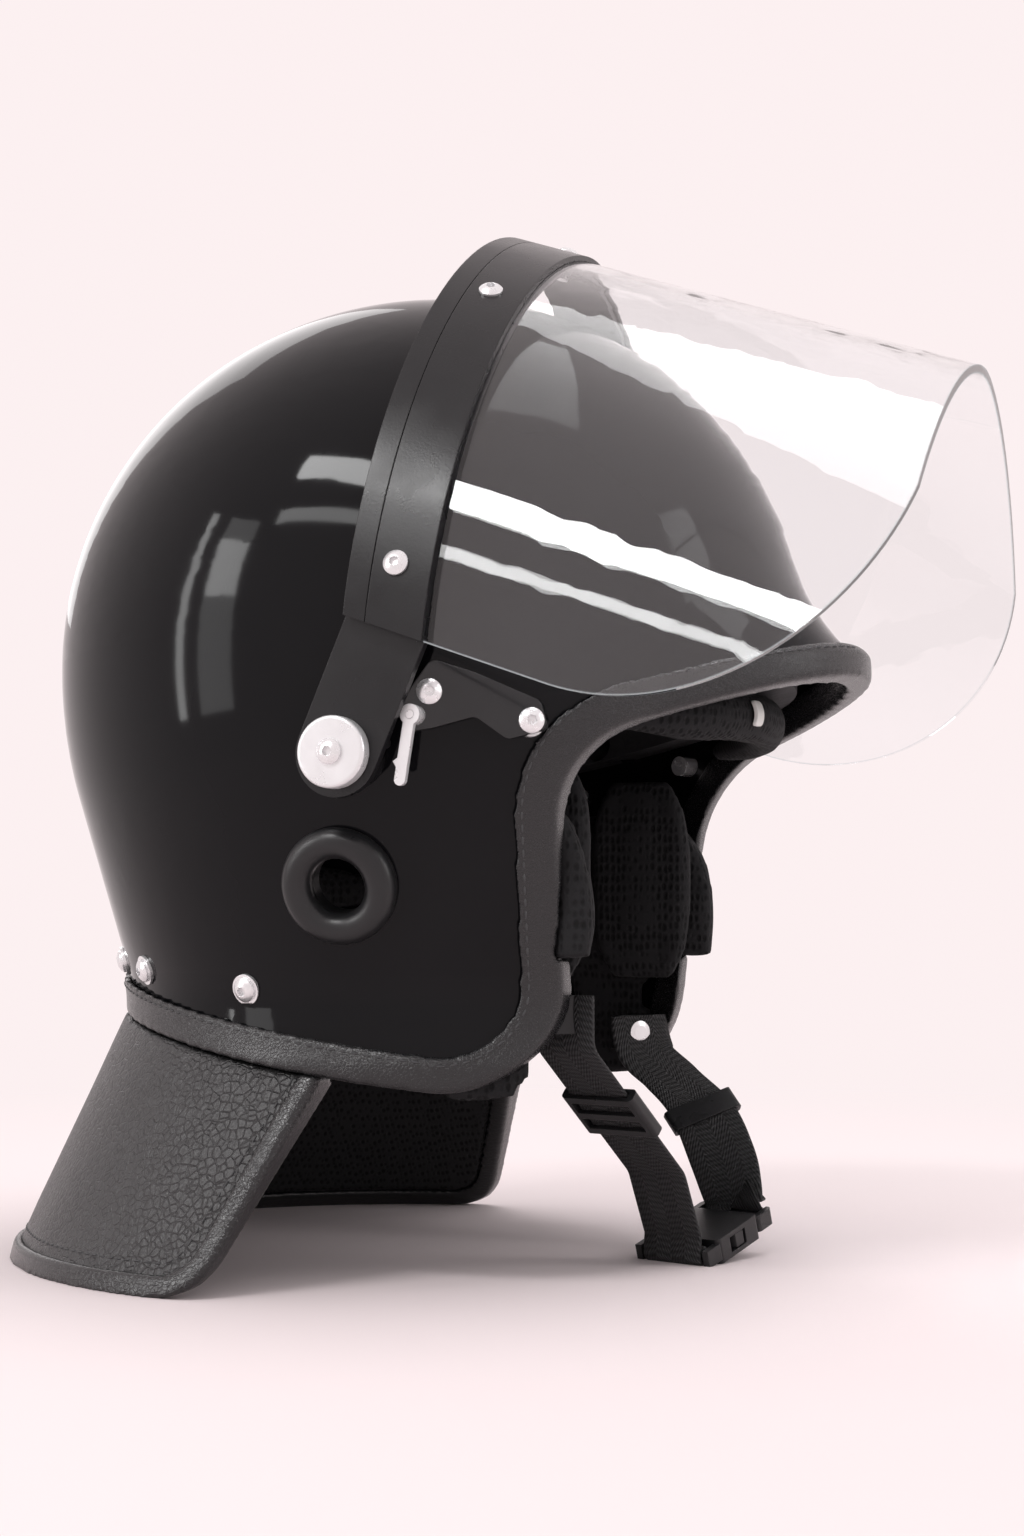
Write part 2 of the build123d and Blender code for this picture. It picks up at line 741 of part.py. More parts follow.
catch_screws = [dome_screw(p.offset(catch_wall), catch_screw_radius, catch_length) for p in catch_planes]
save(joined(mirrored(catch_screws)), "catch_screws")
catch_nuts = [ring(p.offset(catch_wall - catch_length), catch_nut_radius, catch_screw_radius + flush_gap,
                   catch_length - catch_lift) for p in catch_planes]
save(joined(mirrored([(nut & inner_form).solids()[0] for nut in catch_nuts])), "catch_nuts")

# Lever in the room between the catch plate and the sweep of the hinge arm
lever_face_y = frame_inner_y - lever_room
lever_back_y = lever_face_y - lever_wall
with BuildPart() as catch_lever:
    with BuildSketch(pivot_plane(lever_back_y)):
        with BuildLine():
            Polyline((lever_top_x, lever_top_z), (lever_foot_x, lever_foot_z))
        trace(line_width=2 * lever_half_width)
        with Locations((lever_top_x, lever_top_z)):
            Circle(lever_eye_radius)
        with Locations((lever_foot_x, lever_foot_z)):
            Circle(lever_half_width)
        with BuildLine():
            Polyline((lever_nose_x, lever_nose_z), (lever_foot_x, lever_foot_z + lever_half_width * 4),
                     (lever_foot_x, lever_foot_z + lever_half_width), close=True)
        make_face()
        with Locations((lever_top_x, lever_top_z)):
            Circle(lever_pin_radius + turn_gap, mode=Mode.SUBTRACT)
    extrude(amount=lever_wall)
save_pair(catch_lever.part, "catch_lever")
with BuildPart() as lever_pin:
    with BuildSketch(pivot_plane(lever_face_y + seat_gap - lever_room / 4)):
        with Locations((lever_top_x, lever_top_z)):
            Circle(lever_pin_radius)
    extrude(amount=-lever_pin_length)
    with BuildSketch(pivot_plane(lever_back_y - seat_gap)):
        with Locations((lever_top_x, lever_top_z)):
            Circle(lever_eye_radius)
    extrude(amount=-lever_pin_length)
    with BuildSketch(catch_rear_plane.offset(catch_wall)):
        Rectangle(cut_x, cut_x)
    extrude(amount=-overrun, mode=Mode.SUBTRACT)
    with BuildSketch(pivot_plane(lever_back_y)):
        with Locations((lever_top_x, lever_top_z)):
            Circle(lever_pin_radius)
    extrude(amount=-lever_pin_length / 2)
save(joined(mirrored([lever_pin.part])), "lever_pins")

# Nape guard: a flared skirt behind and beside the neck, hung from a tab inside the shell
root_tilt = radians(guard_slope)
guard_root = Plane(origin=(shell_x, 0, guard_root_z), x_dir=(cos(root_tilt), 0, -sin(root_tilt)),
                   z_dir=(sin(root_tilt), 0, cos(root_tilt)))


def skirt_form(root_length, root_width, hem_grow):
    """The space inside a surface that flares from the shell's edge to the floor."""
    with BuildPart() as form:
        with BuildSketch(Plane(origin=(shell_x + hem_x, 0, 0))):
            Ellipse(hem_half_length + hem_grow, hem_half_width + hem_grow)
        with BuildSketch(guard_root):
            Ellipse(root_length / cos(root_tilt), root_width)
        loft()
    return form.part


def tab_form(length, width, rise):
    """An upright oval column through the guard's root."""
    with BuildPart() as form:
        with BuildSketch(guard_root):
            Ellipse(length / cos(root_tilt), width)
        extrude(amount=rise, dir=(0, 0, 1))
        with BuildSketch(guard_root):
            Ellipse(length / cos(root_tilt), width)
        extrude(amount=guard_tab_root, dir=(0, 0, -1))
    return form.part


guard_outline_points = ((-cut_x, piping_base), (guard_corner_x, piping_base), (guard_front_x, guard_front_z),
                        (guard_front_x, cut_z), (-cut_x, cut_z))
with BuildSketch() as guard_sketch:
    with BuildLine():
        Polyline(*guard_outline_points, close=True)
    make_face()
    fillet(guard_sketch.vertices().sort_by_distance((guard_corner_x, piping_base))[0],
           radius=guard_corner_radius)
guard_face = guard_sketch.sketch
tab_inner_length = guard_tab_half_length - guard_wall
tab_inner_width = guard_tab_half_width - guard_wall
skirt_outer = skirt_form(guard_root_half_length, guard_root_half_width, 0)
skirt_inner = skirt_form(tab_inner_length, tab_inner_width, -guard_wall)
tab_outer = tab_form(guard_tab_half_length, guard_tab_half_width, guard_tab)
with BuildPart() as edge_room:
    with BuildSketch(side):
        offset(edge_face, amount=trim_base + seat_gap)
    extrude(amount=hem_half_width + overrun, both=True)
    add(tab_form(guard_tab_half_length, guard_tab_half_width, 2 * overrun), mode=Mode.SUBTRACT)
with BuildPart() as nape_holes:
    with Locations(*[Location(p) for p in both_sides(nape_planes)]):
        Cylinder(nape_screw_radius + flush_gap, 2 * overrun)

with BuildPart() as nape_guard:
    add(skirt_outer)
    add(skirt_inner, mode=Mode.SUBTRACT)
    add(edge_room.part, mode=Mode.SUBTRACT)
    add(tab_outer)
    add(tab_form(tab_inner_length, tab_inner_width, guard_tab + 1), mode=Mode.SUBTRACT)
    with BuildSketch(side):
        add(guard_face)
    extrude(amount=hem_half_width + overrun, both=True, mode=Mode.INTERSECT)
    add(nape_holes.part, mode=Mode.SUBTRACT)
save(nape_guard.part, "nape_guard")

# Lining cloth on the inside of the guard, inside its piping
with BuildPart() as guard_lining:
    lining_outer = guard_wall + seat_gap
    lining_inner = lining_outer + guard_lining_wall
    add(skirt_form(tab_inner_length - seat_gap, tab_inner_width - seat_gap, -lining_outer))
    add(skirt_form(tab_inner_length - seat_gap - guard_lining_wall,
                   tab_inner_width - seat_gap - guard_lining_wall, -lining_inner), mode=Mode.SUBTRACT)
    with BuildSketch(side):
        offset(guard_face, amount=-piping_reach - seat_gap)
    extrude(amount=hem_half_width + overrun, both=True, mode=Mode.INTERSECT)
    add(nape_guard.part, mode=Mode.SUBTRACT)
save(guard_lining.part, "guard_lining")

# Piping round the guard's free edges
with BuildPart() as guard_piping:
    add(skirt_form(guard_root_half_length + piping_wall, guard_root_half_width + piping_wall, piping_wall))
    add(skirt_form(tab_inner_length - piping_wall, tab_inner_width - piping_wall,
                   -guard_wall - piping_wall), mode=Mode.SUBTRACT)
    with BuildSketch(side):
        offset(guard_face, amount=piping_base)
        offset(guard_face, amount=-piping_reach, mode=Mode.SUBTRACT)
    extrude(amount=hem_half_width + overrun, both=True, mode=Mode.INTERSECT)
    add(edge_room.part, mode=Mode.SUBTRACT)
    add(tab_outer, mode=Mode.SUBTRACT)
    add(nape_guard.part, mode=Mode.SUBTRACT)
save(guard_piping.part, "guard_piping")

# Packing between the shell and the guard's tab, above the trim
with BuildPart() as nape_packing:
    add(inner_form)
    with BuildSketch(side):
        offset(edge_face, amount=-trim_reach - seat_gap)
        with BuildLine():
            top = guard_root_z + guard_tab - seat_gap
            front = guard_front_x - seat_gap
            Polyline((-cut_x, top + cut_x * tan(root_tilt)), (front, top - front * tan(root_tilt)),
                     (front, 0), (-cut_x, 0), close=True)
        make_face(mode=Mode.INTERSECT)
    extrude(amount=half_width + overrun, both=True, mode=Mode.INTERSECT)
    add(tab_form(guard_tab_half_length, guard_tab_half_width, 3 * overrun), mode=Mode.SUBTRACT)
    add(nape_holes.part, mode=Mode.SUBTRACT)
save(nape_packing.part, "nape_packing")

# Fasteners of the nape guard: washers follow the shell, nuts follow the tab
nape_washers = [ring(p.offset(-nape_washer_height), nape_washer_radius, nape_screw_radius + flush_gap,
                     2 * nape_washer_height) for p in nape_planes]
save(joined(mirrored(fitted(nape_washers, outer_form))), "nape_washers")
nape_screws = [dome_screw(p.offset(nape_washer_height), nape_screw_radius, nape_screw_length)
               for p in nape_planes]
save(joined(mirrored(nape_screws)), "nape_screws")
nape_nuts = [ring(p.offset(-nape_screw_length), nape_nut_radius, nape_screw_radius + flush_gap,
                  nape_screw_length - shell_wall) for p in nape_planes]
nape_nut_pieces = []
tab_hollow = tab_form(tab_inner_length, tab_inner_width, 3 * overrun)
for nut in nape_nuts:
    nape_nut_pieces.append((nut & tab_hollow).solids()[0])
save(joined(mirrored(nape_nut_pieces)), "nape_nuts")


# Lining
def dome_form(grow):
    """The plain dome's space without the peak, grown by a distance."""
    length = half_length + grow
    with BuildPart() as form:
        with BuildSketch(side):
            with BuildLine():
                crown = EllipticalCenterArc((0, equator_z), length, crown_z + grow - equator_z,
                                            start_angle=0, arc_size=90)
                shoulder = TangentArc(crown @ 0, (grow + skin_reach(shoulder_z)[0], shoulder_z),
                                      tangent=(0, -1))
                Polyline(shoulder @ 1, (waist_reach + grow, waist_z), (waist_reach + grow, skirt_z),
                         (0, skirt_z), crown @ 1)
            make_face()
        revolve(axis=upright)
        scale(by=(1, (half_width + grow) / length, 1))
    return form.part


pad_slope = tan(radians(brow_pad_tilt))
liner_outer_grow = -shell_wall - liner_gap
liner_inner_grow = liner_outer_grow - liner_wall
with BuildPart() as catch_pockets:
    with Locations(*[Location(p) for p in both_sides(catch_planes)]):
        Cylinder(catch_pocket_radius, 2 * overrun)
with BuildPart() as impact_liner:
    add(dome_form(liner_outer_grow))
    add(dome_form(liner_inner_grow), mode=Mode.SUBTRACT)
    with BuildSketch(side):
        with BuildLine():
            base_z = brow_pad_z + brow_pad_height / 2 + 2 * seat_gap - brow_ring_x * pad_slope
            Polyline((-cut_x, base_z - cut_x * pad_slope), (cut_x, base_z + cut_x * pad_slope),
                     (cut_x, cut_z), (-cut_x, cut_z), close=True)
        make_face()
    extrude(amount=cut_x, both=True, mode=Mode.INTERSECT)
    add(catch_pockets.part, mode=Mode.SUBTRACT)
    add(edge_trim.part, mode=Mode.SUBTRACT)
save(impact_liner.part, "impact_liner")

# Crown pad: a shallow oval cushion against the liner's inside
crown_grow = liner_inner_grow - seat_gap
with BuildPart() as crown_pad:
    with BuildSketch(side):
        with BuildLine():
            pad_top = EllipticalCenterArc((0, equator_z), half_length + crown_grow,
                                          crown_z + crown_grow - equator_z,
                                          start_angle=crown_pad_start, arc_size=90 - crown_pad_start)
            rim_z = (pad_top @ 0).Y
            low = (0, (pad_top @ 1).Y - crown_pad_wall)
            foot = (crown_pad_radius * crown_pad_share, rim_z - crown_pad_wall * crown_pad_share)
            ThreePointArc(pad_top @ 0, (crown_pad_radius, (rim_z + foot[1]) / 2), foot)
            ThreePointArc(foot, (foot[0] / 2, (foot[1] + low[1] + crown_pad_wall) / 2 - seat_gap), low)
            Line(low, pad_top @ 1)
        make_face()
    revolve(axis=upright)
    scale(by=(1, (half_width + crown_grow) / (half_length + crown_grow), 1))
save(crown_pad.part, "crown_pad")


def cushion_section(plane, depth, height):
    """A cushion's cross-section: four shallow arcs between four drawn-in corners."""
    x = depth / 2 * pad_corner_shares[0]
    y = height / 2 * pad_corner_shares[1]
    with BuildSketch() as section:
        with BuildLine():
            ThreePointArc((-x, -y), (0, -height / 2), (x, -y))
            ThreePointArc((x, -y), (depth / 2, 0), (x, y))
            ThreePointArc((x, y), (0, height / 2), (-x, y))
            ThreePointArc((-x, y), (-depth / 2, 0), (-x, -y))
        make_face()
    return (plane * section.sketch).face()


def ring_cushion(plane_at, turn_end, depth, height):
    """A cushion along a curved path, full in the middle and drawn in at its ends."""
    count = len(pad_end_shares) - 1
    sections = []
    for step, share in enumerate(pad_end_shares):
        turn = -turn_end + 2 * turn_end * step / count
        sections.append(cushion_section(plane_at(turn), depth * share, height * share))
    return loft(sections)


def brow_plane(turn):
    c, s = cos(radians(turn)), sin(radians(turn))
    tilt = radians(brow_pad_tilt)
    out = Vector(c * cos(tilt), s, c * sin(tilt))
    rise = Vector(-sin(tilt), 0, cos(tilt))
    place = Vector(shell_x + brow_ring_x, 0, brow_pad_z) + out * brow_ring_radius
    return Plane(origin=place, x_dir=out, z_dir=out.cross(rise))


brow_pad = ring_cushion(brow_plane, brow_pad_turn, brow_pad_depth, brow_pad_height)
save(brow_pad, "brow_pad")


def nape_plane(turn):
    c, s = -cos(radians(turn)), sin(radians(turn))
    reach = skin_reach(nape_pad_z)[0] - (shell_wall + liner_gap + nape_pad_depth / 2) / cos(taper)
    plan = reach / sqrt(c ** 2 + (s / width_share) ** 2)
    out = Vector(c * cos(taper), s * cos(taper), -sin(taper))
    rise = Vector(c * sin(taper), s * sin(taper), cos(taper))
    return Plane(origin=Vector(shell_x + c * plan, s * plan, nape_pad_z), x_dir=out, z_dir=out.cross(rise))


nape_pad = ring_cushion(nape_plane, nape_pad_turn, nape_pad_depth, nape_pad_height)
save(nape_pad, "nape_pad")


# Chin strap planes: the right strap rises from the buckle's near bar in its own upright plane
turn_c, turn_s = cos(radians(buckle_turn)), sin(radians(buckle_turn))
rise_c, rise_s = cos(radians(buckle_rise)), sin(radians(buckle_rise))
buckle_z = arm_end * rise_s + arm_height / 2 * rise_c - rest_cut
buckle_axis = Vector(turn_s * rise_c, turn_c * rise_c, rise_s)
buckle_up = Vector(-turn_s * rise_s, -turn_c * rise_s, rise_c)
buckle = Plane(origin=(shell_x + buckle_x, buckle_y, buckle_z), x_dir=buckle_axis, z_dir=buckle_up)
near_bar = buckle.origin - buckle_axis * bar_place
far_bar = buckle.origin + buckle_axis * plug_bar_place
strap_plane = Plane(origin=(near_bar.X, near_bar.Y, 0), x_dir=(turn_s, turn_c, 0),
                    z_dir=(turn_c, -turn_s, 0))
loop_radius = bar_radius + web_gap + web_wall
strap_straight = ((-strap_run, strap_bend_z), (-strap_drop_run, strap_drop_z))
left_x, left_y, left_z, left_turn = left_stations[0]
left_c, left_s = cos(radians(left_turn)), sin(radians(left_turn))
right_top = Plane(origin=strap_plane.origin - strap_plane.x_dir * strap_run, x_dir=strap_plane.x_dir,
                  z_dir=strap_plane.z_dir)
left_top = Plane(origin=(shell_x + left_x, left_y, 0), x_dir=(left_s, -left_c, 0),
                 z_dir=(-left_c, -left_s, 0))
right_rivet = Plane(origin=right_top.origin + Vector(0, 0, strap_top_z - anchor_height / 2),
                    x_dir=(0, 0, 1), z_dir=right_top.x_dir)
left_rivet = Plane(origin=left_top.origin + Vector(0, 0, left_z - anchor_height / 2),
                   x_dir=(0, 0, 1), z_dir=left_top.x_dir)


def above_floor(piece):
    """The piece cut off flat at the floor."""
    with BuildPart() as rest:
        add(piece)
        with BuildSketch(Plane.XY):
            Rectangle(3 * cut_x, 3 * cut_x)
        extrude(amount=-overrun, mode=Mode.SUBTRACT)
    return rest.part


with BuildPart() as chin_strap_right:
    with BuildSketch(strap_plane):
        with BuildLine():
            FilletPolyline((-strap_run, strap_top_z), *strap_straight, (0, near_bar.Z + bar_radius),
                           radius=web_bend)
        trace(line_width=web_wall)
        with Locations((0, near_bar.Z)):
            Circle(loop_radius)
            Circle(bar_radius + web_gap, mode=Mode.SUBTRACT)
    extrude(amount=web_width / 2, both=True)
    with Locations(Location(right_rivet)):
        Cylinder(rivet_radius + flush_gap, 4 * web_wall, mode=Mode.SUBTRACT)
save(above_floor(chin_strap_right.part), "chin_strap_right")


# Left strap: turns as it rises from the buckle's far bar to the left side
def left_station(index):
    """The strap's cross-section plane at one of its stations."""
    x, y, z, turn = left_stations[index]
    low = Vector(*left_stations[max(index - 1, 0)][:3])
    high = Vector(*left_stations[min(index + 1, len(left_stations) - 1)][:3])
    along = (high - low).normalized()
    across = Vector(cos(radians(turn)), sin(radians(turn)), 0)
    across = (across - along * across.dot(along)).normalized()
    return Plane(origin=(shell_x + x, y, z), x_dir=across, z_dir=along)


def web_section(plane):
    with BuildSketch() as section:
        Rectangle(web_width, web_wall)
    return (plane * section.sketch).face()


left_loop_plane = Plane(origin=far_bar, x_dir=buckle_axis, z_dir=buckle.y_dir)
with BuildPart() as chin_strap_left:
    loft([web_section(left_station(index)) for index in range(len(left_stations))])
    with BuildSketch(left_loop_plane):
        Circle(loop_radius)
    extrude(amount=web_width / 2, both=True)
    with BuildSketch(left_loop_plane):
        Circle(bar_radius + web_gap)
    extrude(amount=web_width, both=True, mode=Mode.SUBTRACT)
    with Locations(Location(left_rivet)):
        Cylinder(rivet_radius + flush_gap, 4 * web_wall, mode=Mode.SUBTRACT)

# Buckle socket: a flat box with side windows, and a bar for the right strap
with BuildPart() as buckle_socket:
    with BuildSketch(buckle.offset(-socket_height / 2)):
        with Locations(((socket_front - socket_back) / 2, 0)):
            RectangleRounded(socket_front + socket_back, socket_width, socket_corner)
    extrude(amount=socket_height)
    with BuildSketch(buckle.offset(-socket_height / 2 + socket_wall)):
        with Locations(((socket_front - socket_back) / 2 + socket_wall, 0)):
            Rectangle(socket_front + socket_back, socket_width - 2 * socket_wall)
    extrude(amount=socket_height - 2 * socket_wall, mode=Mode.SUBTRACT)
    with BuildSketch(buckle.offset(-window_height / 2)):
        with Locations(((window_start + window_end) / 2, 0)):
            Rectangle(window_end - window_start, 2 * socket_width)
    extrude(amount=window_height, mode=Mode.SUBTRACT)
    with BuildSketch(buckle.offset(-arm_height / 2)):
        with Locations((-(arm_end + socket_back) / 2, (socket_width - arm_width) / 2),
                       (-(arm_end + socket_back) / 2, -(socket_width - arm_width) / 2)):
            Rectangle(arm_end - socket_back + socket_wall, arm_width)
    extrude(amount=arm_height)
    with BuildSketch(Plane(origin=near_bar, x_dir=buckle_axis, z_dir=buckle.y_dir)):
        Circle(bar_radius)
    extrude(amount=socket_width / 2 - socket_wall, both=True)
save(above_floor(buckle_socket.part), "buckle_socket")

# Buckle plug: a frame with a bar for the left strap and a tongue into the socket
with BuildPart() as buckle_plug:
    with BuildSketch(buckle.offset(-plug_height / 2)):
        base_start = socket_front + seat_gap
        with Locations(((base_start + plug_end) / 2, 0)):
            RectangleRounded(plug_end - base_start, plug_width, socket_corner)
        with Locations(((base_start + plug_base_length + plug_end + overrun) / 2, 0)):
            Rectangle(plug_end + overrun - base_start - plug_base_length, plug_width - 2 * arm_width,
                      mode=Mode.SUBTRACT)
    extrude(amount=plug_height)
    with BuildSketch(Plane(origin=far_bar, x_dir=buckle_axis, z_dir=buckle.y_dir)):
        Circle(bar_radius)
    extrude(amount=plug_width / 2 - arm_width / 2, both=True)
    with BuildSketch(buckle.offset(-tongue_wall / 2)):
        with Locations(((base_start + tongue_end + 1) / 2, 0)):
            Rectangle(base_start - tongue_end + 1, 2 * tongue_half_width)
    extrude(amount=tongue_wall)
save(buckle_plug.part, "buckle_plug")


def prong(hand):
    """A side prong whose barb stands in the socket's window."""
    with BuildPart() as piece:
        with BuildSketch(buckle.offset(-prong_height / 2)):
            with BuildLine():
                root = socket_front - (seat_gap + prong_wall) / 2
                outer = prong_inner + prong_wall
                Polyline((root, prong_inner * hand), (prong_end, prong_inner * hand),
                         (prong_end, outer * hand), (barb_start + prong_wall, prong_barb * hand),
                         (barb_end, prong_barb * hand), (barb_end, outer * hand), (root, outer * hand),
                         close=True)
            make_face()
            with Locations((root, (prong_inner + prong_wall / 2) * hand)):
                Circle(prong_wall / 2)
        extrude(amount=prong_height)
    return piece.part


save(prong(1), "buckle_prong_rear")
save(prong(-1), "buckle_prong_front")

# Slider and keeper: flat frames that the webbing runs through
slider_low, slider_high = Vector(*strap_straight[1]), Vector(*strap_straight[0])
slider_place = slider_low + (slider_high - slider_low) * slider_share
slider_along = (slider_high - slider_low).normalized()
slide_dir = strap_plane.x_dir * slider_along.X + Vector(0, 0, 1) * slider_along.Y
slider_plane = Plane(origin=strap_plane.from_local_coords((slider_place.X, slider_place.Y, 0)),
                     x_dir=strap_plane.z_dir, z_dir=slide_dir)


def web_frame(plane, width, length, height):
    """A sleeve round the webbing, along the z axis of a plane."""
    with BuildPart() as sleeve:
        with BuildSketch(plane.offset(-length / 2)):
            RectangleRounded(width, height, height / 3)
            Rectangle(web_width + 2 * web_gap, web_wall + 2 * web_gap, mode=Mode.SUBTRACT)
        extrude(amount=length)
    return sleeve.part


with BuildPart() as strap_slider:
    add(web_frame(slider_plane, slider_width, slider_length, slider_height))
    with BuildSketch(Plane(origin=slider_plane.origin, x_dir=slider_plane.x_dir,
                           z_dir=slider_plane.y_dir)):
        with Locations((0, (slider_bar + slider_length) / 4 - slider_bar / 2),
                       (0, -(slider_bar + slider_length) / 4 + slider_bar / 2)):
            Rectangle(web_width, (slider_length - slider_bar) / 2 - slider_bar)
    extrude(amount=slider_height, both=True, mode=Mode.SUBTRACT)
save(strap_slider.part, "strap_slider")
keeper_plane = left_station(keeper_station)
keeper = web_frame(keeper_plane, keeper_width, keeper_length, keeper_height)
save(Part(fitted([keeper], chin_strap_left.part)[0].wrapped), "strap_keeper")

# Strap anchors: blocks that carry the strap tops out to the trim's inside, each with a rivet
room_form = helmet_form(-shell_wall - trim_wall - seat_gap)


def anchor_block(plane, rise, reach, inward, outward, grow=0):
    """A block behind a strap's top, on the side that the plane's x axis points away from."""
    with BuildPart() as block:
        with BuildSketch(plane.offset(-outward - grow)):
            with Locations((-(reach + web_wall) / 2 - seat_gap, rise)):
                Rectangle(reach + 2 * grow, anchor_height + 2 * grow)
        extrude(amount=inward + outward + 2 * grow)
    return block.part


def strap_anchor(block, rivet):
    """The block kept inside the helmet, with a hole for the rivet."""
    with BuildPart() as anchor:
        add(block)
        add(room_form, mode=Mode.INTERSECT)
        with Locations(Location(rivet)):
            Cylinder(rivet_radius + flush_gap, 2 * rivet_depth, mode=Mode.SUBTRACT)
    return Part(anchor.part.solids().sort_by(SortBy.VOLUME)[-1].wrapped)


def strap_rivet(plane):
    seat = plane.offset(web_wall / 2)
    return turned(seat, ((0, -rivet_depth), (rivet_radius, -rivet_depth), (rivet_radius, 0),
                         (rivet_head_radius, 0), (rivet_head_radius, rivet_head_height / 2),
                         (rivet_head_radius * dome_shares[0], rivet_head_height), (0, rivet_head_height)))


right_rise = strap_top_z - anchor_height / 2
left_rise = left_z - anchor_height / 2
right_block = anchor_block(right_top, right_rise, anchor_reach, anchor_half_width, anchor_half_width)
left_block = anchor_block(left_top, left_rise, left_anchor_reach, anchor_half_width, left_anchor_width)
save(strap_anchor(right_block, right_rivet), "strap_anchor_right")
save(strap_anchor(left_block, left_rivet), "strap_anchor_left")
save(joined([strap_rivet(right_rivet), strap_rivet(left_rivet)]), "strap_rivets")
left_web = fitted(fitted([chin_strap_left.part], buckle_plug.part), strap_rivet(left_rivet))
save(Part(left_web[0].wrapped), "chin_strap_left")


# Cheek pads: an outer cushion that follows the shell and a smaller cushion on its inside
def cheek_section(z, x, half, inner):
    """The outer cushion's outline at one height, on the wearer's right."""
    with BuildSketch() as section:
        with BuildLine():
            ThreePointArc((x - half, -inner - cheek_crown), (x, -inner), (x + half, -inner - cheek_crown))
            Polyline((x + half, -inner - cheek_crown), (x + half, -cheek_outer), (x - half, -cheek_outer),
                     (x - half, -inner - cheek_crown))
        make_face()
    return (Plane(origin=(shell_x, 0, z)) * section.sketch).face()


cheek_form = loft([cheek_section(*station) for station in cheek_stations])
with BuildPart() as cheek_pad_right:
    add(cheek_form)
    add(room_form, mode=Mode.INTERSECT)
    add(anchor_block(right_top, right_rise, anchor_reach, anchor_half_width, anchor_half_width,
                     anchor_room), mode=Mode.SUBTRACT)
save(cheek_pad_right.part, "cheek_pad_right")
with BuildPart() as cheek_pad_left:
    add(mirror(cheek_form, about=Plane.XZ))
    add(room_form, mode=Mode.INTERSECT)
    add(anchor_block(left_top, left_rise, left_anchor_reach, anchor_half_width, left_anchor_width,
                     anchor_room), mode=Mode.SUBTRACT)
save(cheek_pad_left.part, "cheek_pad_left")

jaw_sections = []
for step, share in enumerate(pad_end_shares):
    level = jaw_pad_z + jaw_pad_height * (step / (len(pad_end_shares) - 1) - 1 / 2)
    jaw_plane = Plane(origin=(shell_x + jaw_pad_x, -(jaw_pad_inner + jaw_pad_outer) / 2, level))
    jaw_sections.append(cushion_section(jaw_plane, jaw_pad_length * share ** (1 / 2),
                                        (jaw_pad_outer - jaw_pad_inner) * share))
save_pair(loft(jaw_sections), "jaw_pad")

# Clip on the front of the brow pad
with BuildPart() as brow_clip:
    clip_x = shell_x + brow_ring_x + brow_ring_radius * cos(radians(brow_pad_tilt))
    clip_z = brow_pad_z + brow_ring_radius * sin(radians(brow_pad_tilt))
    with BuildSketch(Plane(origin=(clip_x, clip_y, clip_z), x_dir=(0, 1, 0), z_dir=(1, 0, 0))):
        RectangleRounded(clip_width, clip_height, clip_width / 4)
    extrude(amount=brow_pad_depth)
    add(brow_pad, mode=Mode.SUBTRACT)
    add(brow_pad.moved(Location((clip_wall, 0, 0))), mode=Mode.INTERSECT)
save(brow_clip.part, "brow_pad_clip")
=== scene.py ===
import bpy
import json
import math
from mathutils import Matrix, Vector, noise
from mathutils.bvhtree import BVHTree


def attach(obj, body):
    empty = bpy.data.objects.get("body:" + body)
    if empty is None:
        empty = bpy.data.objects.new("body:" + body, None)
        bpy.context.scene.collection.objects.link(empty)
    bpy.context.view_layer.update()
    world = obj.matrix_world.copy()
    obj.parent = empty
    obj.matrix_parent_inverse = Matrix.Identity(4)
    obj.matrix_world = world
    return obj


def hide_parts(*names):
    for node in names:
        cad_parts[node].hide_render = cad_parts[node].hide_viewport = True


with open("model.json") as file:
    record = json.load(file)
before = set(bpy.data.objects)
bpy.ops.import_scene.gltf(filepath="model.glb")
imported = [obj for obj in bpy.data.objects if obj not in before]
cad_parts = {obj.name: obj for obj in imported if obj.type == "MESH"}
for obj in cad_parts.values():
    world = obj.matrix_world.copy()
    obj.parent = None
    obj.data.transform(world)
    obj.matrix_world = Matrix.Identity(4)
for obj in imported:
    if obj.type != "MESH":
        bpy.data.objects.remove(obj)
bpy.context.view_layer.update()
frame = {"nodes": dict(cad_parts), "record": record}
nodes = frame["nodes"]
MM = 0.001

# Places in the part's frame, in millimetres
SHELL_X = -26.573
PIVOT = (SHELL_X + 20.5, 176.0)
SEED = Vector((3.1, 7.7, 1.3))

# Soft pieces, in metres: remeshing cells, and how the piping grows away from the floor
TRIM_CELL, GUARD_CELL, LINING_CELL, PIPING_CELL, PAD_CELL = 0.0012, 0.0016, 0.0013, 0.001, 0.0022
PIPING_GROWTH, PIPING_FLAT, PIPING_RISE = 0.0008, 0.001, 0.004

# The webbing's weave, in metres: pitch across, pitch along, and half a herringbone's width
RIB_ACROSS, RIB_ALONG, ZIG_WIDTH = 0.0025, 0.0022, 0.00625

# The visor: its index of refraction, and the radius that finds its cut edges for their painted highlight,
# in metres
VISOR_INDEX, EDGE_RADIUS = 1.49, 0.0012

# Stitches, in millimetres: thread radius, how far a stitch's ends sink, and the longest gap bridged
THREAD_RADIUS, STITCH_SINK, LONGEST_STEP = 0.42, 0.15, 20.0
STITCH_PROFILE = ((-0.5, 0.25), (-0.35, 0.85), (0.0, 1.0), (0.35, 0.85), (0.5, 0.25))
THREAD_SIDES = 6

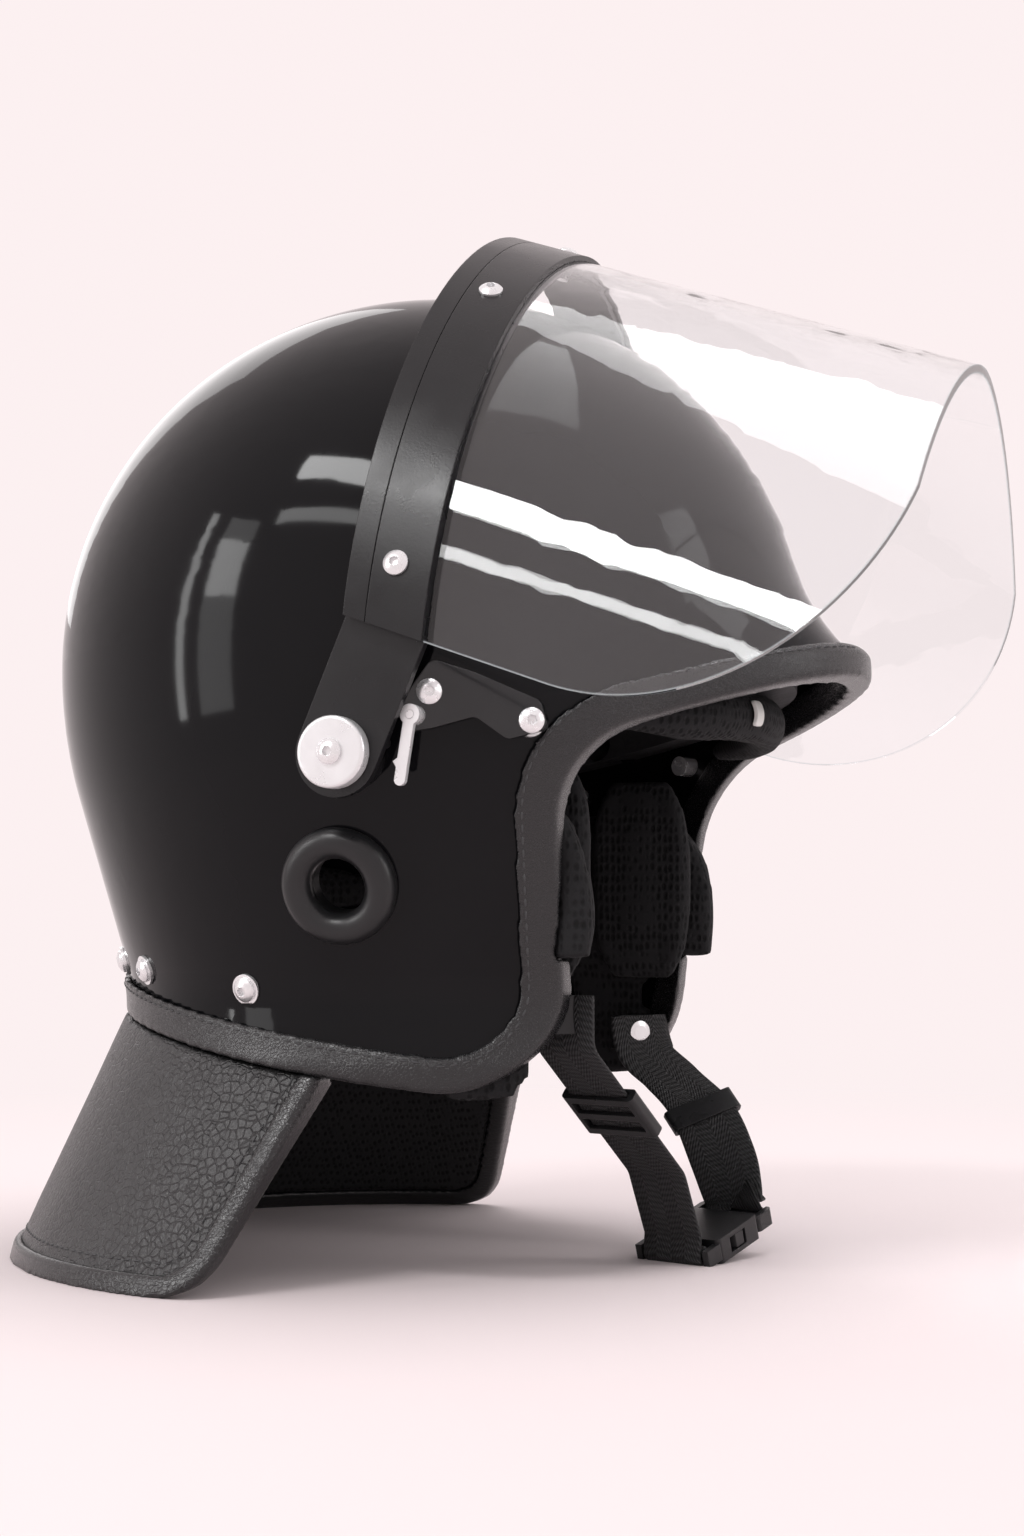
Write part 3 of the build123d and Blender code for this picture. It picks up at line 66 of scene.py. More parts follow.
# Stage and camera, in metres
BACKDROP = (0.975, 0.875, 0.88)
FLOOR = (0.88, 0.765, 0.775)
FLOOR_HALF, FADE_START, FADE_END = 8, 0.22, 0.9
LAMP_AIM = Vector((0, 0, 0.19))
WORLD_LIGHT, WORLD_LEVEL = (1.0, 0.985, 0.985, 1), 0.7
CAMERA_PLACE, CAMERA_AIM = Vector((0.2906, -0.7778, 0.1168)), Vector((0.00584, 0.0, 0.18022))
LENS, SENSOR = 51.697, 36


# Materials
class Look:
    """Builds one node material round a Principled shader."""

    def __init__(self, name, colour, roughness, metallic=0.0, coat=0.0, specular=0.5):
        self.material = bpy.data.materials.new(name)
        self.material.use_nodes = True
        self.tree = self.material.node_tree
        self.shader = self.tree.nodes["Principled BSDF"]
        self.shader.inputs["Base Color"].default_value = (*colour, 1)
        self.shader.inputs["Roughness"].default_value = roughness
        self.shader.inputs["Metallic"].default_value = metallic
        self.shader.inputs["Coat Weight"].default_value = coat
        self.shader.inputs["Coat Roughness"].default_value = 0.04
        self.shader.inputs["Specular IOR Level"].default_value = specular
        self.place = self.node("ShaderNodeTexCoord").outputs["Object"]
        self.normal = None

    def node(self, kind, **settings):
        made = self.tree.nodes.new(kind)
        for key, value in settings.items():
            setattr(made, key, value)
        return made

    def link(self, source, target):
        self.tree.links.new(source, target)

    def math(self, operation, a, b=None):
        made = self.node("ShaderNodeMath", operation=operation)
        for socket, value in zip(made.inputs, (a, b)):
            if value is None:
                continue
            if isinstance(value, (int, float)):
                socket.default_value = value
            else:
                self.link(value, socket)
        return made.outputs[0]

    def scaled(self, factors, place=None):
        made = self.node("ShaderNodeMapping")
        self.link(place or self.place, made.inputs["Vector"])
        made.inputs["Scale"].default_value = factors
        return made.outputs[0]

    def noise(self, scale, detail=3.0, place=None, rough=0.55):
        made = self.node("ShaderNodeTexNoise")
        self.link(place or self.place, made.inputs["Vector"])
        made.inputs["Scale"].default_value = scale
        made.inputs["Detail"].default_value = detail
        made.inputs["Roughness"].default_value = rough
        return made.outputs["Fac"]

    def cells(self, scale, feature="F1", place=None, randomness=1.0):
        made = self.node("ShaderNodeTexVoronoi", feature=feature)
        self.link(place or self.place, made.inputs["Vector"])
        made.inputs["Scale"].default_value = scale
        made.inputs["Randomness"].default_value = randomness
        return made.outputs["Distance"]

    def ramp(self, value, low, high, start=0.0, end=1.0):
        made = self.node("ShaderNodeMapRange")
        self.link(value, made.inputs["Value"])
        for key, number in (("From Min", start), ("From Max", end), ("To Min", low), ("To Max", high)):
            made.inputs[key].default_value = number
        return made.outputs["Result"]

    def mix_colour(self, factor, dark, light):
        made = self.node("ShaderNodeMix", data_type="RGBA")
        self.link(factor, made.inputs["Factor"])
        made.inputs[6].default_value = (*dark, 1)
        made.inputs[7].default_value = (*light, 1)
        self.link(made.outputs[2], self.shader.inputs["Base Color"])

    def rough(self, value, low, high, start=0.3, end=0.7):
        self.link(self.ramp(value, low, high, start, end), self.shader.inputs["Roughness"])

    def bevel(self, radius):
        made = self.node("ShaderNodeBevel", samples=4)
        made.inputs["Radius"].default_value = radius
        self.normal = made.outputs["Normal"]
        self.link(self.normal, self.shader.inputs["Normal"])

    def bump(self, height, distance, strength=1.0):
        made = self.node("ShaderNodeBump")
        made.inputs["Strength"].default_value = strength
        made.inputs["Distance"].default_value = distance
        self.link(height, made.inputs["Height"])
        if self.normal is not None:
            self.link(self.normal, made.inputs["Normal"])
        self.normal = made.outputs["Normal"]
        self.link(self.normal, self.shader.inputs["Normal"])


def gloss_black():
    look = Look("gloss_lacquer", (0.002, 0.002, 0.002), 0.07, specular=0.15)
    look.rough(look.noise(9.0, 5.0), 0.035, 0.085)
    look.mix_colour(look.noise(14.0), (0.003, 0.003, 0.004), (0.007, 0.007, 0.008))
    look.bump(look.noise(25.0, 1.0), 0.000004)
    return look.material


def moulded(name, colour, low, high, grain=900.0, depth=0.00006, edge=0.0004, coat=0.0):
    look = Look(name, colour, low, coat=coat, specular=0.38)
    look.rough(look.noise(40.0, 4.0), low, high)
    look.mix_colour(look.noise(70.0), tuple(0.75 * c for c in colour), tuple(1.4 * c for c in colour))
    look.bevel(edge)
    look.bump(look.noise(grain, 2.0), depth)
    return look.material


def leather(name, colour, scale, depth, low=0.3, high=0.5):
    look = Look(name, colour, low)
    warp = look.cells(scale, "F1")
    fine = look.noise(scale * 1.7, 4.0)
    crease = look.cells(scale * 0.55, "DISTANCE_TO_EDGE")
    height = look.math("ADD", look.math("MULTIPLY", warp, 0.5),
                       look.math("MULTIPLY", look.ramp(crease, 0.0, 1.0, 0.0, 0.12), 0.6))
    look.mix_colour(fine, tuple(0.6 * c for c in colour), tuple(1.5 * c for c in colour))
    look.rough(fine, low, high)
    look.bump(height, depth)
    look.bump(fine, depth * 0.6)
    return look.material


def mesh_cloth(name, pitch, colour, depth=0.0007):
    """Knitted spacer mesh: rows of small drawn-out eyes, with painted shade in their sunken centres."""
    look = Look(name, colour, 0.85, specular=0.2)
    place = look.scaled((1 / pitch, 1 / pitch, 0.62 / pitch))
    eyes = look.cells(1.0, "F1", place, 0.35)
    thread = look.noise(3.2, 2.0, place)
    open_eye = look.ramp(eyes, 0.0, 1.0, 0.22, 0.5)
    # Painted shade: the sunken centre of each eye is darkened
    look.mix_colour(open_eye, tuple(0.45 * c for c in colour), tuple(1.15 * c for c in colour))
    look.bump(open_eye, depth)
    look.bump(thread, depth * 0.5)
    return look.material


def webbing_look(name, colour):
    """Woven strap: ribs across it and a herringbone along it, from its own length and width, with painted
    shade in the weave's hollows and painted highlights on its ribs.
    """
    look = Look(name, colour, 0.7, specular=0.3)
    uv = look.node("ShaderNodeUVMap", uv_map="strap").outputs["UV"]
    split = look.node("ShaderNodeSeparateXYZ")
    look.link(uv, split.inputs[0])
    across, along = split.outputs[0], split.outputs[1]
    wave_a = look.math("SINE", look.math("MULTIPLY", across, 2 * math.pi / RIB_ACROSS))
    zig = look.math("PINGPONG", across, ZIG_WIDTH)
    wave_b = look.math("SINE", look.math("MULTIPLY", look.math("ADD", along, zig), 2 * math.pi / RIB_ALONG))
    height = look.ramp(look.math("MULTIPLY", wave_a, wave_b), 0.0, 1.0, -1.0, 1.0)
    fuzz = look.noise(2200.0, 2.0)
    # Painted shade and highlight: the weave's height darkens its hollows and lightens its ribs
    look.mix_colour(height, tuple(0.3 * c for c in colour), tuple(2.2 * c for c in colour))
    look.bump(height, 0.0008)
    look.bump(fuzz, 0.00008)
    return look.material


def metal(name, colour, low, high, ring=None, edge=0.0003, metallic=0.8):
    look = Look(name, colour, low, metallic=metallic)
    look.rough(look.noise(160.0, 3.0), low, high)
    look.mix_colour(look.noise(90.0), tuple(0.88 * c for c in colour), colour)
    look.bevel(edge)
    if ring:
        place = look.node("ShaderNodeMapping")
        look.link(look.place, place.inputs["Vector"])
        place.inputs["Location"].default_value = (-ring[0] * MM, 0, -ring[1] * MM)
        flat = look.node("ShaderNodeVectorMath", operation="MULTIPLY")
        look.link(place.outputs[0], flat.inputs[0])
        flat.inputs[1].default_value = (1, 0, 1)
        size = look.node("ShaderNodeVectorMath", operation="LENGTH")
        look.link(flat.outputs[0], size.inputs[0])
        turned = look.math("SINE", look.math("MULTIPLY", size.outputs["Value"], 2 * math.pi / 0.00045))
        look.bump(turned, 0.000006)
    look.bump(look.noise(700.0, 2.0), 0.000006)
    return look.material


def clear_sheet():
    look = Look("clear_visor", (0.97, 0.98, 0.985), 0.0)
    look.shader.inputs["Transmission Weight"].default_value = 1.0
    look.shader.inputs["IOR"].default_value = VISOR_INDEX
    look.rough(look.noise(30.0, 5.0), 0.0, 0.012, 0.55, 0.8)
    look.bump(look.noise(18.0, 1.0), 0.00003)
    path = look.node("ShaderNodeLightPath")
    see_through = look.node("ShaderNodeBsdfTransparent")
    see_through.inputs["Color"].default_value = (0.86, 0.87, 0.88, 1)
    mixed = look.node("ShaderNodeMixShader")
    look.link(path.outputs["Is Shadow Ray"], mixed.inputs[0])
    look.link(look.shader.outputs[0], mixed.inputs[1])
    look.link(see_through.outputs[0], mixed.inputs[2])
    # Painted highlight: the cut edges glow with a grey emission where the rounded normal leaves the sheet's
    # own
    rounded = look.node("ShaderNodeBevel", samples=4)
    rounded.inputs["Radius"].default_value = EDGE_RADIUS
    turn = look.node("ShaderNodeVectorMath", operation="DOT_PRODUCT")
    look.link(rounded.outputs["Normal"], turn.inputs[0])
    look.link(look.node("ShaderNodeNewGeometry").outputs["True Normal"], turn.inputs[1])
    edge = look.ramp(turn.outputs["Value"], 0.75, 0.0, 0.8, 0.97)
    # Painted highlight: a grey glow mixed in along the cut edges
    painted_edge_glow = look.node("ShaderNodeEmission")
    painted_edge_glow.inputs["Color"].default_value = (0.6, 0.62, 0.64, 1)
    sheet_with_painted_edges = look.node("ShaderNodeMixShader")
    look.link(edge, sheet_with_painted_edges.inputs[0])
    look.link(mixed.outputs[0], sheet_with_painted_edges.inputs[1])
    look.link(painted_edge_glow.outputs[0], sheet_with_painted_edges.inputs[2])
    look.link(sheet_with_painted_edges.outputs[0], look.tree.nodes["Material Output"].inputs["Surface"])
    return look.material


LOOKS = {
    "shell_gloss": gloss_black(),
    "grommet": moulded("ear_rubber", (0.013, 0.013, 0.014), 0.26, 0.4, 500.0, 0.00005),
    "frame_black": moulded("band_satin", (0.008, 0.008, 0.009), 0.22, 0.34, 1200.0, 0.00003, 0.0005),
    "catch_black": moulded("catch_gloss", (0.008, 0.008, 0.009), 0.1, 0.2, 400.0, 0.00002, 0.0006, 0.3),
    "visor_clear": clear_sheet(),
    "steel": metal("screw_steel", (0.86, 0.86, 0.87), 0.2, 0.32, metallic=0.7),
    "bright_metal": metal("turned_disc", (0.86, 0.86, 0.87), 0.26, 0.36, PIVOT, 0.0005, 0.5),
    "foam": moulded("liner_foam", (0.03, 0.03, 0.032), 0.7, 0.9, 350.0, 0.0004),
    "clip_clear": moulded("milky_clip", (0.62, 0.62, 0.6), 0.3, 0.45, 300.0, 0.00005),
    "buckle_black": moulded("buckle_mould", (0.012, 0.012, 0.013), 0.24, 0.38, 1500.0, 0.00004, 0.0005),
    "trim_soft": leather("trim_leather", (0.011, 0.011, 0.012), 1500.0, 0.0001, 0.2, 0.3),
    "guard_leather": leather("guard_leather", (0.02, 0.02, 0.021), 620.0, 0.0004, 0.32, 0.48),
    "piping_leather": leather("piping_leather", (0.012, 0.012, 0.013), 1100.0, 0.0001, 0.16, 0.26),
    "lining_cloth": mesh_cloth("lining_mesh", 0.0022, (0.016, 0.016, 0.017), 0.0003),
    "pad_cloth": mesh_cloth("pad_mesh", 0.0024, (0.014, 0.014, 0.015), 0.0005),
    "thread": moulded("thread", (0.05, 0.05, 0.052), 0.5, 0.65),
    "webbing": webbing_look("strap_weave", (0.022, 0.022, 0.023)),
}
SLOT_OF = {row["node"]: row["material_slot"] for row in frame["record"]["subparts"]}
for name, obj in nodes.items():
    obj.data.materials.clear()
    obj.data.materials.append(LOOKS[SLOT_OF[name]])


# Soft pieces: each is remeshed from its CAD solid, smoothed and given folds
def mesh_object(name, mesh, slot):
    obj = bpy.data.objects.new(name, mesh)
    bpy.context.scene.collection.objects.link(obj)
    mesh.materials.clear()
    mesh.materials.append(LOOKS[slot])
    for face in mesh.polygons:
        face.use_smooth = True
    return obj


def soft_copy(name, node, voxel, rounds, slot, shape):
    """A remeshed, smoothed piece in a CAD node's space, with its own folds."""
    start = bpy.data.objects.new("start", nodes[node].data.copy())
    bpy.context.scene.collection.objects.link(start)
    remesh = start.modifiers.new("remesh", "REMESH")
    remesh.mode = "VOXEL"
    remesh.voxel_size = voxel
    smooth = start.modifiers.new("smooth", "SMOOTH")
    smooth.factor = 0.5
    smooth.iterations = rounds
    graph = bpy.context.evaluated_depsgraph_get()
    mesh = bpy.data.meshes.new_from_object(start.evaluated_get(graph))
    bpy.data.objects.remove(start)
    normals = [v.normal.copy() for v in mesh.vertices]
    for v, n in zip(mesh.vertices, normals):
        v.co += n * shape(v.co)
        v.co.z = max(v.co.z, 0.0)
    piece = mesh_object(name, mesh, slot)
    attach(piece, "helmet")
    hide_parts(node)
    return piece


def folds(scale, depth):
    """Shallow random folds, the same on every run."""
    return lambda place: depth * noise.noise(place * scale + SEED)


def fuller(place):
    """The piping is rounder than its solid, except where it lies on the floor."""
    return PIPING_GROWTH * min(1.0, max(0.0, place.z - PIPING_FLAT) / PIPING_RISE)


trim = soft_copy("trim_cover", "edge_trim", TRIM_CELL, 12, "trim_soft", shape=folds(90, 0.0001))
guard = soft_copy("guard_cover", "nape_guard", GUARD_CELL, 3, "guard_leather", shape=folds(30, 0.0006))
lining = soft_copy("guard_inner_cloth", "guard_lining", LINING_CELL, 1, "lining_cloth",
                   shape=folds(40, 0.0003))
piping = soft_copy("guard_edge_piping", "guard_piping", PIPING_CELL, 6, "guard_leather",
                   shape=fuller)
piping.data.materials[0] = LOOKS["piping_leather"]
PADS = (("cheek_cushion_right", "cheek_pad_right"), ("cheek_cushion_left", "cheek_pad_left"),
        ("jaw_cushion_right", "jaw_pad_right"), ("jaw_cushion_left", "jaw_pad_left"),
        ("brow_cushion", "brow_pad"), ("nape_cushion", "nape_pad"), ("crown_cushion", "crown_pad"))
for piece_name, node_name in PADS:
    pad = soft_copy(piece_name, node_name, PAD_CELL, 6, "pad_cloth", shape=folds(45, 0.0009))


# Webbing
def strap_mesh(name, node, rows, width, wall):
    """A flat woven strap through rows of (centre, across, out), with rounded selvedges."""
    half, edge = width / 2, wall / 2
    outline = [(-half + edge * 0.3, edge * 0.7), (-half + edge, edge), (-half * 0.5, edge), (0.0, edge),
               (half * 0.5, edge), (half - edge, edge), (half - edge * 0.3, edge * 0.7), (half, 0.0),
               (half - edge * 0.3, -edge * 0.7), (half - edge, -edge), (half * 0.5, -edge), (0.0, -edge),
               (-half * 0.5, -edge), (-half + edge, -edge), (-half + edge * 0.3, -edge * 0.7), (-half, 0.0)]
    verts, faces, uvs = [], [], []
    length, last = 0.0, None
    for centre, across, out in rows:
        length += 0.0 if last is None else (centre - last).length
        last = centre
        for a, b in outline:
            place = centre + across * a + out * b
            place.z = max(place.z, 0.0)
            verts.append(place)
            uvs.append((a + half, length))
    count = len(outline)
    for row in range(len(rows) - 1):
        for k in range(count):
            a, b = row * count + k, row * count + (k + 1) % count
            faces.append((a, b, b + count, a + count))
    faces.append(tuple(reversed(range(count))))
    faces.append(tuple((len(rows) - 1) * count + k for k in range(count)))
    mesh = bpy.data.meshes.new(name)
    mesh.from_pydata(verts, [], faces)
    layer = mesh.uv_layers.new(name="strap")
    for loop in mesh.loops:
        layer.data[loop.index].uv = uvs[loop.vertex_index]
    piece = mesh_object(name, mesh, "webbing")
    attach(piece, "helmet")
    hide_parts(node)


TURN, RISE = math.radians(20.0), math.radians(16.0)
TS, TC, RS, RC = math.sin(TURN), math.cos(TURN), math.sin(RISE), math.cos(RISE)
BUCKLE = Vector((SHELL_X + 101.0, 13.0, 17.5 * RS + 3.0 * RC - 0.3))
B_ALONG = Vector((TS * RC, TC * RC, RS))
B_ACROSS = Vector((-TC, TS, 0.0))
NEAR_BAR = BUCKLE - B_ALONG * 15.5
FAR_BAR = BUCKLE + B_ALONG * 22.6
WEB_WIDTH, WEB_WALL, LOOP = 25.0, 1.8, 2.75


def smooth_path(points, radius, step=1.0):
    """Points along a polyline with rounded corners, in its own plane or in space."""
    path = [points[0]]
    for before, at, after in zip(points, points[1:], points[2:]):
        a, b = (before - at).normalized(), (after - at).normalized()
        angle = a.angle(b)
        reach = min(radius / math.tan(angle / 2), 0.45 * (before - at).length, 0.45 * (after - at).length)
        start, end = at + a * reach, at + b * reach
        for k in range(9):
            t = k / 8
            path.append(start * (1 - t) ** 2 + at * (2 * t * (1 - t)) + end * t ** 2)
    path.append(points[-1])
    dense = [path[0]]
    for p, q in zip(path, path[1:]):
        count = max(1, int((q - p).length / step))
        dense += [p.lerp(q, (k + 1) / count) for k in range(count)]
    return dense


def strap_rows(path, across_at):
    rows = []
    for index, point in enumerate(path):
        ahead = path[min(index + 1, len(path) - 1)] - path[max(index - 1, 0)]
        across = across_at(index / (len(path) - 1))
        across = (across - ahead.normalized() * across.dot(ahead.normalized())).normalized()
        out = ahead.normalized().cross(across).normalized()
        rows.append((point * MM, across, out))
    return rows


# Right strap in the upright plane through the buckle's near bar, and round that bar
flat_dir = Vector((TS, TC, 0.0))
web_across = Vector((TC, -TS, 0.0))
right_path = smooth_path([NEAR_BAR + flat_dir * s + Vector((0, 0, z - NEAR_BAR.z))
                          for s, z in ((-64.0, 97.0), (-64.0, 79.0), (-12.0, 33.0),
                                       (0.5 - LOOP, NEAR_BAR.z + 7.0))], 9.0)
for k in range(26):
    angle = math.radians(180 + 12 * k)
    right_path.append(NEAR_BAR + flat_dir * (LOOP * math.cos(angle))
                      + Vector((0, 0, LOOP * math.sin(angle))))
strap_mesh("webbing_right", "chin_strap_right", strap_rows(right_path, lambda t: web_across),
           WEB_WIDTH * MM, WEB_WALL * MM)

# Left strap: turns as it comes down to the far bar
LEFT = ((64.0, 58.0, 86.0, 50.0), (64.6, 57.9, 79.0, 49.5), (68.0, 57.6, 70.5, 46.0),
        (78.0, 56.5, 62.0, 38.0), (92.0, 50.0, 50.0, 24.0), (101.5, 43.0, 34.0, 2.0),
        (107.2, 36.2, 22.0, -18.0), (108.2, 33.8, 16.6, -20.0))


def catmull(rows, steps):
    dense = []
    for k in range(len(rows) - 1):
        p = [rows[max(k - 1, 0)], rows[k], rows[k + 1], rows[min(k + 2, len(rows) - 1)]]
        for s in range(steps):
            t = s / steps
            dense.append(tuple(0.5 * (2 * b + (c - a) * t
                                      + (2 * a - 5 * b + 4 * c - d) * t * t
                                      + (3 * b - a - 3 * c + d) * t ** 3)
                               for a, b, c, d in zip(*p)))
    dense.append(rows[-1])
    return dense


left_rows = catmull(LEFT, 14)
left_path = [Vector((SHELL_X + x, y, z)) for x, y, z, turn in left_rows]
left_turns = [turn for x, y, z, turn in left_rows]
loop_up = B_ALONG.cross(B_ACROSS).normalized()
for k in range(25):
    angle = math.radians(80 - 12 * k)
    left_path.append(FAR_BAR + B_ALONG * (LOOP * math.cos(angle)) + loop_up * (LOOP * math.sin(angle)))
    left_turns.append(-20.0)
left_across = [Vector((math.cos(math.radians(t)), math.sin(math.radians(t)), 0.0)) for t in left_turns]
strap_mesh("webbing_left", "chin_strap_left",
           strap_rows(left_path, lambda t: left_across[round(t * (len(left_across) - 1))]),
           WEB_WIDTH * MM, WEB_WALL * MM)


# Stitches
def arc_corner(before, at, after, radius, count=10):
    a, b = (before - at).normalized(), (after - at).normalized()
    angle = a.angle(b)
    reach = radius / math.tan(angle / 2)
    centre = at + (a + b).normalized() * (radius / math.sin(angle / 2))
    start, end = at + a * reach - centre, at + b * reach - centre
    points = []
    for k in range(count + 1):
        t = k / count
        points.append(centre + (start * (1 - t) + end * t).normalized() * radius)
    return points


def stitch_line(name, side_path, target, pitch, length):
    """Dashes of thread on a piece, along a path given in the side view, on both sides of the helmet."""
    tree = BVHTree.FromPolygons([v.co for v in target.data.vertices],
                                [tuple(p.vertices) for p in target.data.polygons])
    verts, faces = [], []
    for hand in (-1, 1):
        hits = []
        for point in side_path:
            place, normal, index, far = tree.ray_cast(Vector((point.x * MM, hand * 0.3, point.y * MM)),
                                                      Vector((0, -hand, 0)))
            if place is not None and place.y * hand > 0.002:
                hits.append((place, normal))
        travelled = 0.0
        for (p, n), (q, _) in zip(hits, hits[1:]):
            step = (q - p).length
            if step > LONGEST_STEP * MM:
                continue
            travelled += step
            if travelled < pitch * MM:
                continue
            travelled = 0.0
            along = (q - p).normalized()
            across = n.cross(along).normalized()
            base = len(verts)
            for share, size in STITCH_PROFILE:
                for corner in range(THREAD_SIDES):
                    angle = math.tau * corner / THREAD_SIDES
                    radial = across * math.cos(angle) + n * math.sin(angle)
                    verts.append(p + along * (length * MM * share) + radial * (THREAD_RADIUS * MM * size)
                                 - n * (STITCH_SINK * MM * (1 - size)))
            last = len(STITCH_PROFILE) - 1
            for ring in range(last):
                for corner in range(THREAD_SIDES):
                    a = base + ring * THREAD_SIDES + corner
                    b = base + ring * THREAD_SIDES + (corner + 1) % THREAD_SIDES
                    faces.append((a, b, b + THREAD_SIDES, a + THREAD_SIDES))
            faces.append(tuple(base + c for c in reversed(range(THREAD_SIDES))))
            faces.append(tuple(base + last * THREAD_SIDES + c for c in range(THREAD_SIDES)))
    mesh = bpy.data.meshes.new(name)
    mesh.from_pydata(verts, [], faces)
    piece = mesh_object(name, mesh, "thread")
    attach(piece, "helmet")


def line_points(a, b, step=0.5):
    count = max(1, int((b - a).length / step))
    return [a.lerp(b, k / count) for k in range(count + 1)]


def edge_path(inset):
    """The shell's edge in the side view, moved in from the edge by inset."""
    jaw, temple = Vector((SHELL_X + 74.0, 63.5)), Vector((SHELL_X + 81.5, 182.0))
    nape = Vector((SHELL_X - 135.0, 98.0))
    slope = math.tan(math.radians(18.8))
    tip = Vector((SHELL_X + 168.0, 182.0 + 86.5 * slope))
    sole = []
    for k in range(301):
        t = k / 300
        lift = 4 * t * (1 - t) * -3.4
        sole.append(nape.lerp(jaw, t) + Vector((0, lift)))
    sole_end = (sole[-1] - sole[-2]).normalized()
    cheek = (temple - jaw).normalized()
    brow = (tip - temple).normalized()

    def up(d):
        return Vector((-d.y, d.x))

    path = [p + up((sole[min(i + 1, 300)] - sole[max(i - 1, 0)]).normalized()) * inset
            for i, p in enumerate(sole)]
    jaw_in = jaw + up(sole_end) * inset + up(cheek) * inset
    temple_in = temple + up(cheek) * inset + (up(brow) - up(cheek) * up(cheek).dot(up(brow))) * inset
    corner = arc_corner(jaw_in - sole_end * 50, jaw_in, jaw_in + cheek * 50, 34.0 - inset)
    bend = arc_corner(temple_in - cheek * 40, temple_in, temple_in + brow * 40, 43.0 + inset)
    path = [p for p in path if p.x < corner[0].x] + corner
    points = []
    for p, q in zip(path, path[1:]):
        points += line_points(p, q)[:-1]
    points += line_points(corner[-1], bend[0])
    for p, q in zip(bend, bend[1:]):
        points += line_points(p, q)[:-1]
    points += line_points(bend[-1], tip + up(brow) * inset)
    return points


stitch_line("trim_stitching", edge_path(7.6), trim, 4.0, 2.9)
hem = [Vector((SHELL_X - 154.0, 1.6 + 8.6)), Vector((SHELL_X - 28.0 - 8.0, 1.6 + 8.6)),
       Vector((SHELL_X + 1.0 - 9.0, 70.0))]
hem_corner = arc_corner(hem[0], hem[1], hem[2], 12.0)
hem_path = line_points(hem[0], hem_corner[0])
for start, end in zip(hem_corner, hem_corner[1:]):
    hem_path += line_points(start, end)[:-1]
hem_path += line_points(hem_corner[-1], hem[2])
stitch_line("guard_stitching", hem_path, guard, 4.2, 3.0)


# Floor, lamps, world and camera
def stage_plane(name, corners, material):
    mesh = bpy.data.meshes.new(name)
    mesh.from_pydata(corners, [], [(0, 1, 2, 3)])
    obj = bpy.data.objects.new(name, mesh)
    obj.data.materials.append(material)
    bpy.context.scene.collection.objects.link(obj)


def paper():
    """Pale paper that turns into the backdrop's colour with distance."""
    look = Look("floor_paper", FLOOR, 0.9, specular=0.1)
    look.mix_colour(look.noise(3.0), tuple(0.995 * c for c in FLOOR), FLOOR)
    length = look.node("ShaderNodeVectorMath", operation="LENGTH")
    look.link(look.place, length.inputs[0])
    far = look.ramp(length.outputs["Value"], 0.0, 1.0, FADE_START, FADE_END)
    glow = look.node("ShaderNodeEmission")
    glow.inputs["Color"].default_value = (*BACKDROP, 1)
    fade = look.node("ShaderNodeMixShader")
    look.link(far, fade.inputs[0])
    look.link(look.shader.outputs[0], fade.inputs[1])
    look.link(glow.outputs[0], fade.inputs[2])
    look.link(fade.outputs[0], look.tree.nodes["Material Output"].inputs["Surface"])
    return look.material


stage_plane("floor", [(-FLOOR_HALF, -FLOOR_HALF, 0), (FLOOR_HALF, -FLOOR_HALF, 0),
                      (FLOOR_HALF, FLOOR_HALF, 0), (-FLOOR_HALF, FLOOR_HALF, 0)], paper())

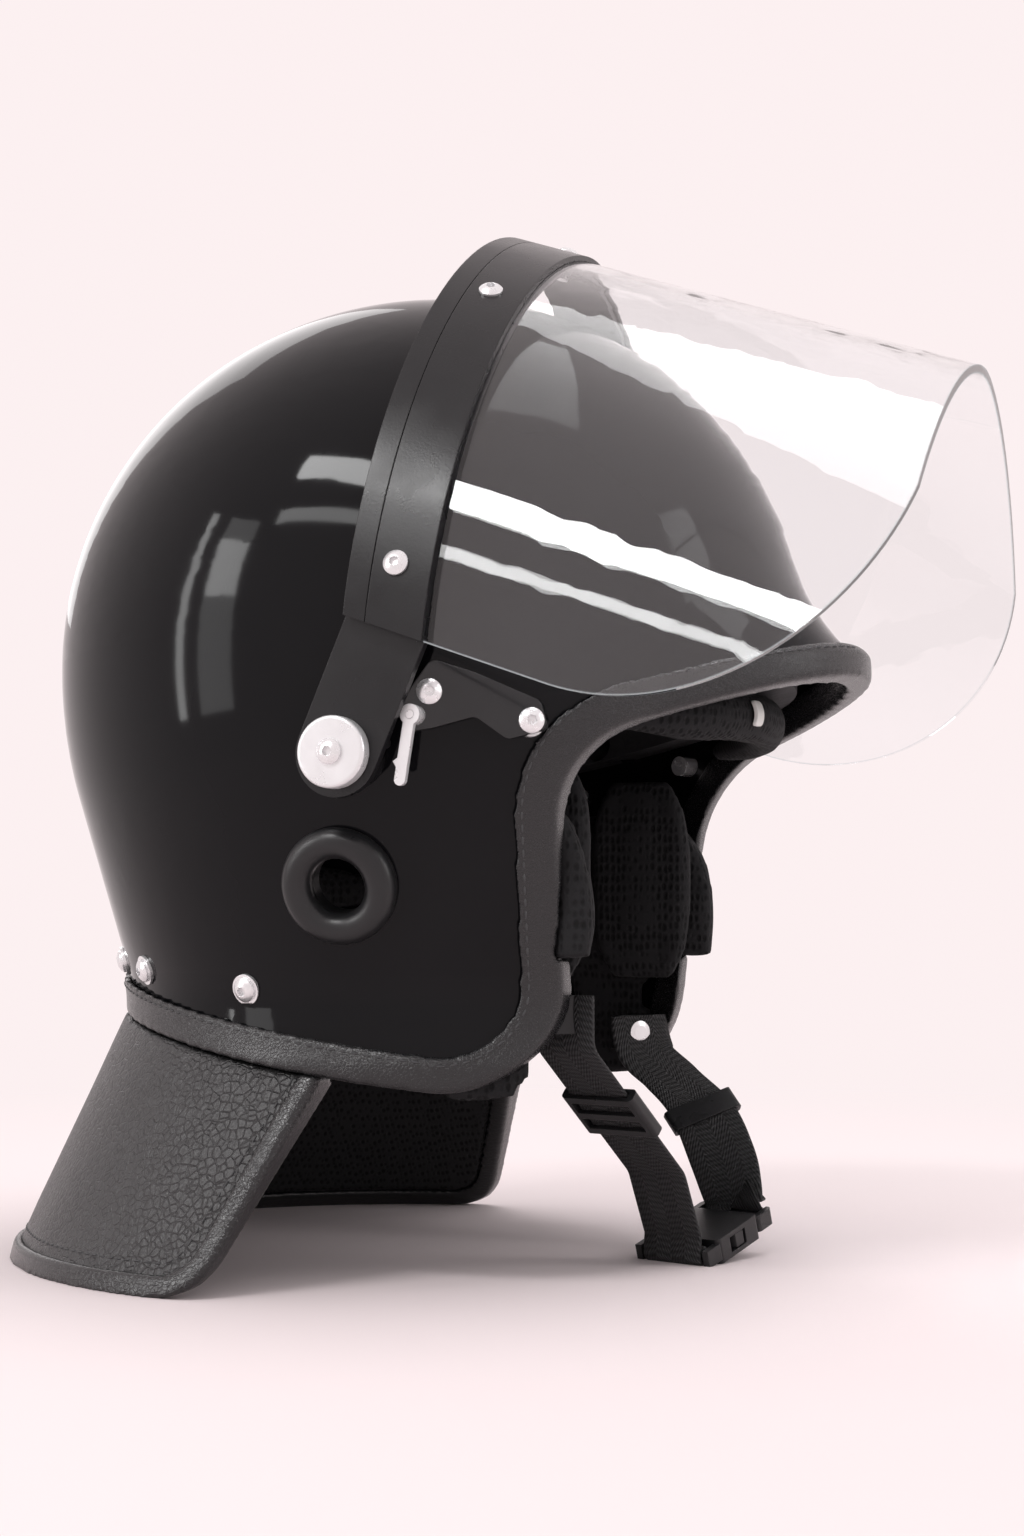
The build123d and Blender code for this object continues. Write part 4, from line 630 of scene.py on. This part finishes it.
# Each lamp: name, place, size, power, whether it lights matte surfaces, whether it shows in reflections
LAMPS = (
    ("thin_streak", (-1.5, -0.95, 0.2), (0.08, 2.3), 5.5, False, True),
    ("wide_streak", (-1.28, -1.22, 0.2), (0.32, 2.3), 6.5, False, True),
    ("window", (-1.25, -1.19, 0.9), (0.3, 0.4), 3.2, False, True),
    ("visor_strip", (-0.55, -1.7, 1.5), (1.2, 0.12), 4.0, False, True),
    ("key_box", (-0.7, -1.6, 2.2), (0.9, 0.3), 20, True, True),
    ("top_box", (0.3, 0.2, 2.2), (1.4, 0.8), 14, True, False),
    ("front_box", (1.9, 0.2, 0.9), (0.5, 1.2), 6, True, True),
    ("back_box", (-1.3, 1.3, 1.2), (0.9, 1.4), 5, True, True),
)
for lamp_name, place, size, power, matte, mirrored in LAMPS:
    lamp = bpy.data.lights.new(lamp_name, "AREA")
    lamp.shape = "RECTANGLE"
    lamp.size, lamp.size_y = size
    lamp.energy = power
    lamp_object = bpy.data.objects.new(lamp_name, lamp)
    lamp_object.location = place
    lamp_object.visible_diffuse = matte
    lamp_object.visible_glossy = mirrored
    aim = LAMP_AIM - Vector(place)
    lamp_object.rotation_euler = aim.to_track_quat("-Z", "Y").to_euler()
    bpy.context.scene.collection.objects.link(lamp_object)

world = bpy.data.worlds.new("backdrop")
bpy.context.scene.world = world
world.use_nodes = True
tree = world.node_tree
seen = tree.nodes["Background"]
seen.inputs[0].default_value = (*BACKDROP, 1)
seen.inputs[1].default_value = 1.0
lit = tree.nodes.new("ShaderNodeBackground")
lit.inputs[0].default_value = WORLD_LIGHT
lit.inputs[1].default_value = WORLD_LEVEL
path = tree.nodes.new("ShaderNodeLightPath")


def either(a, b):
    made = tree.nodes.new("ShaderNodeMath")
    made.operation = "MAXIMUM"
    tree.links.new(a, made.inputs[0])
    tree.links.new(b, made.inputs[1])
    return made.outputs[0]


# Metal, gloss and glass show the same backdrop as the camera
shown = either(path.outputs["Is Camera Ray"], path.outputs["Is Transmission Ray"])
shown = either(shown, path.outputs["Is Glossy Ray"])
surround = tree.nodes.new("ShaderNodeMixShader")
for socket, value in zip(surround.inputs, (shown, lit.outputs[0], seen.outputs[0])):
    tree.links.new(value, socket)
tree.links.new(surround.outputs[0], tree.nodes["World Output"].inputs["Surface"])

camera = bpy.data.objects.new("camera", bpy.data.cameras.new("camera"))
camera.data.lens = LENS
camera.data.sensor_width = SENSOR
camera.location = CAMERA_PLACE
camera.rotation_euler = (CAMERA_AIM - CAMERA_PLACE).to_track_quat("-Z", "Y").to_euler()
bpy.context.scene.collection.objects.link(camera)
bpy.context.scene.camera = camera
bpy.context.scene.view_settings.view_transform = "Standard"
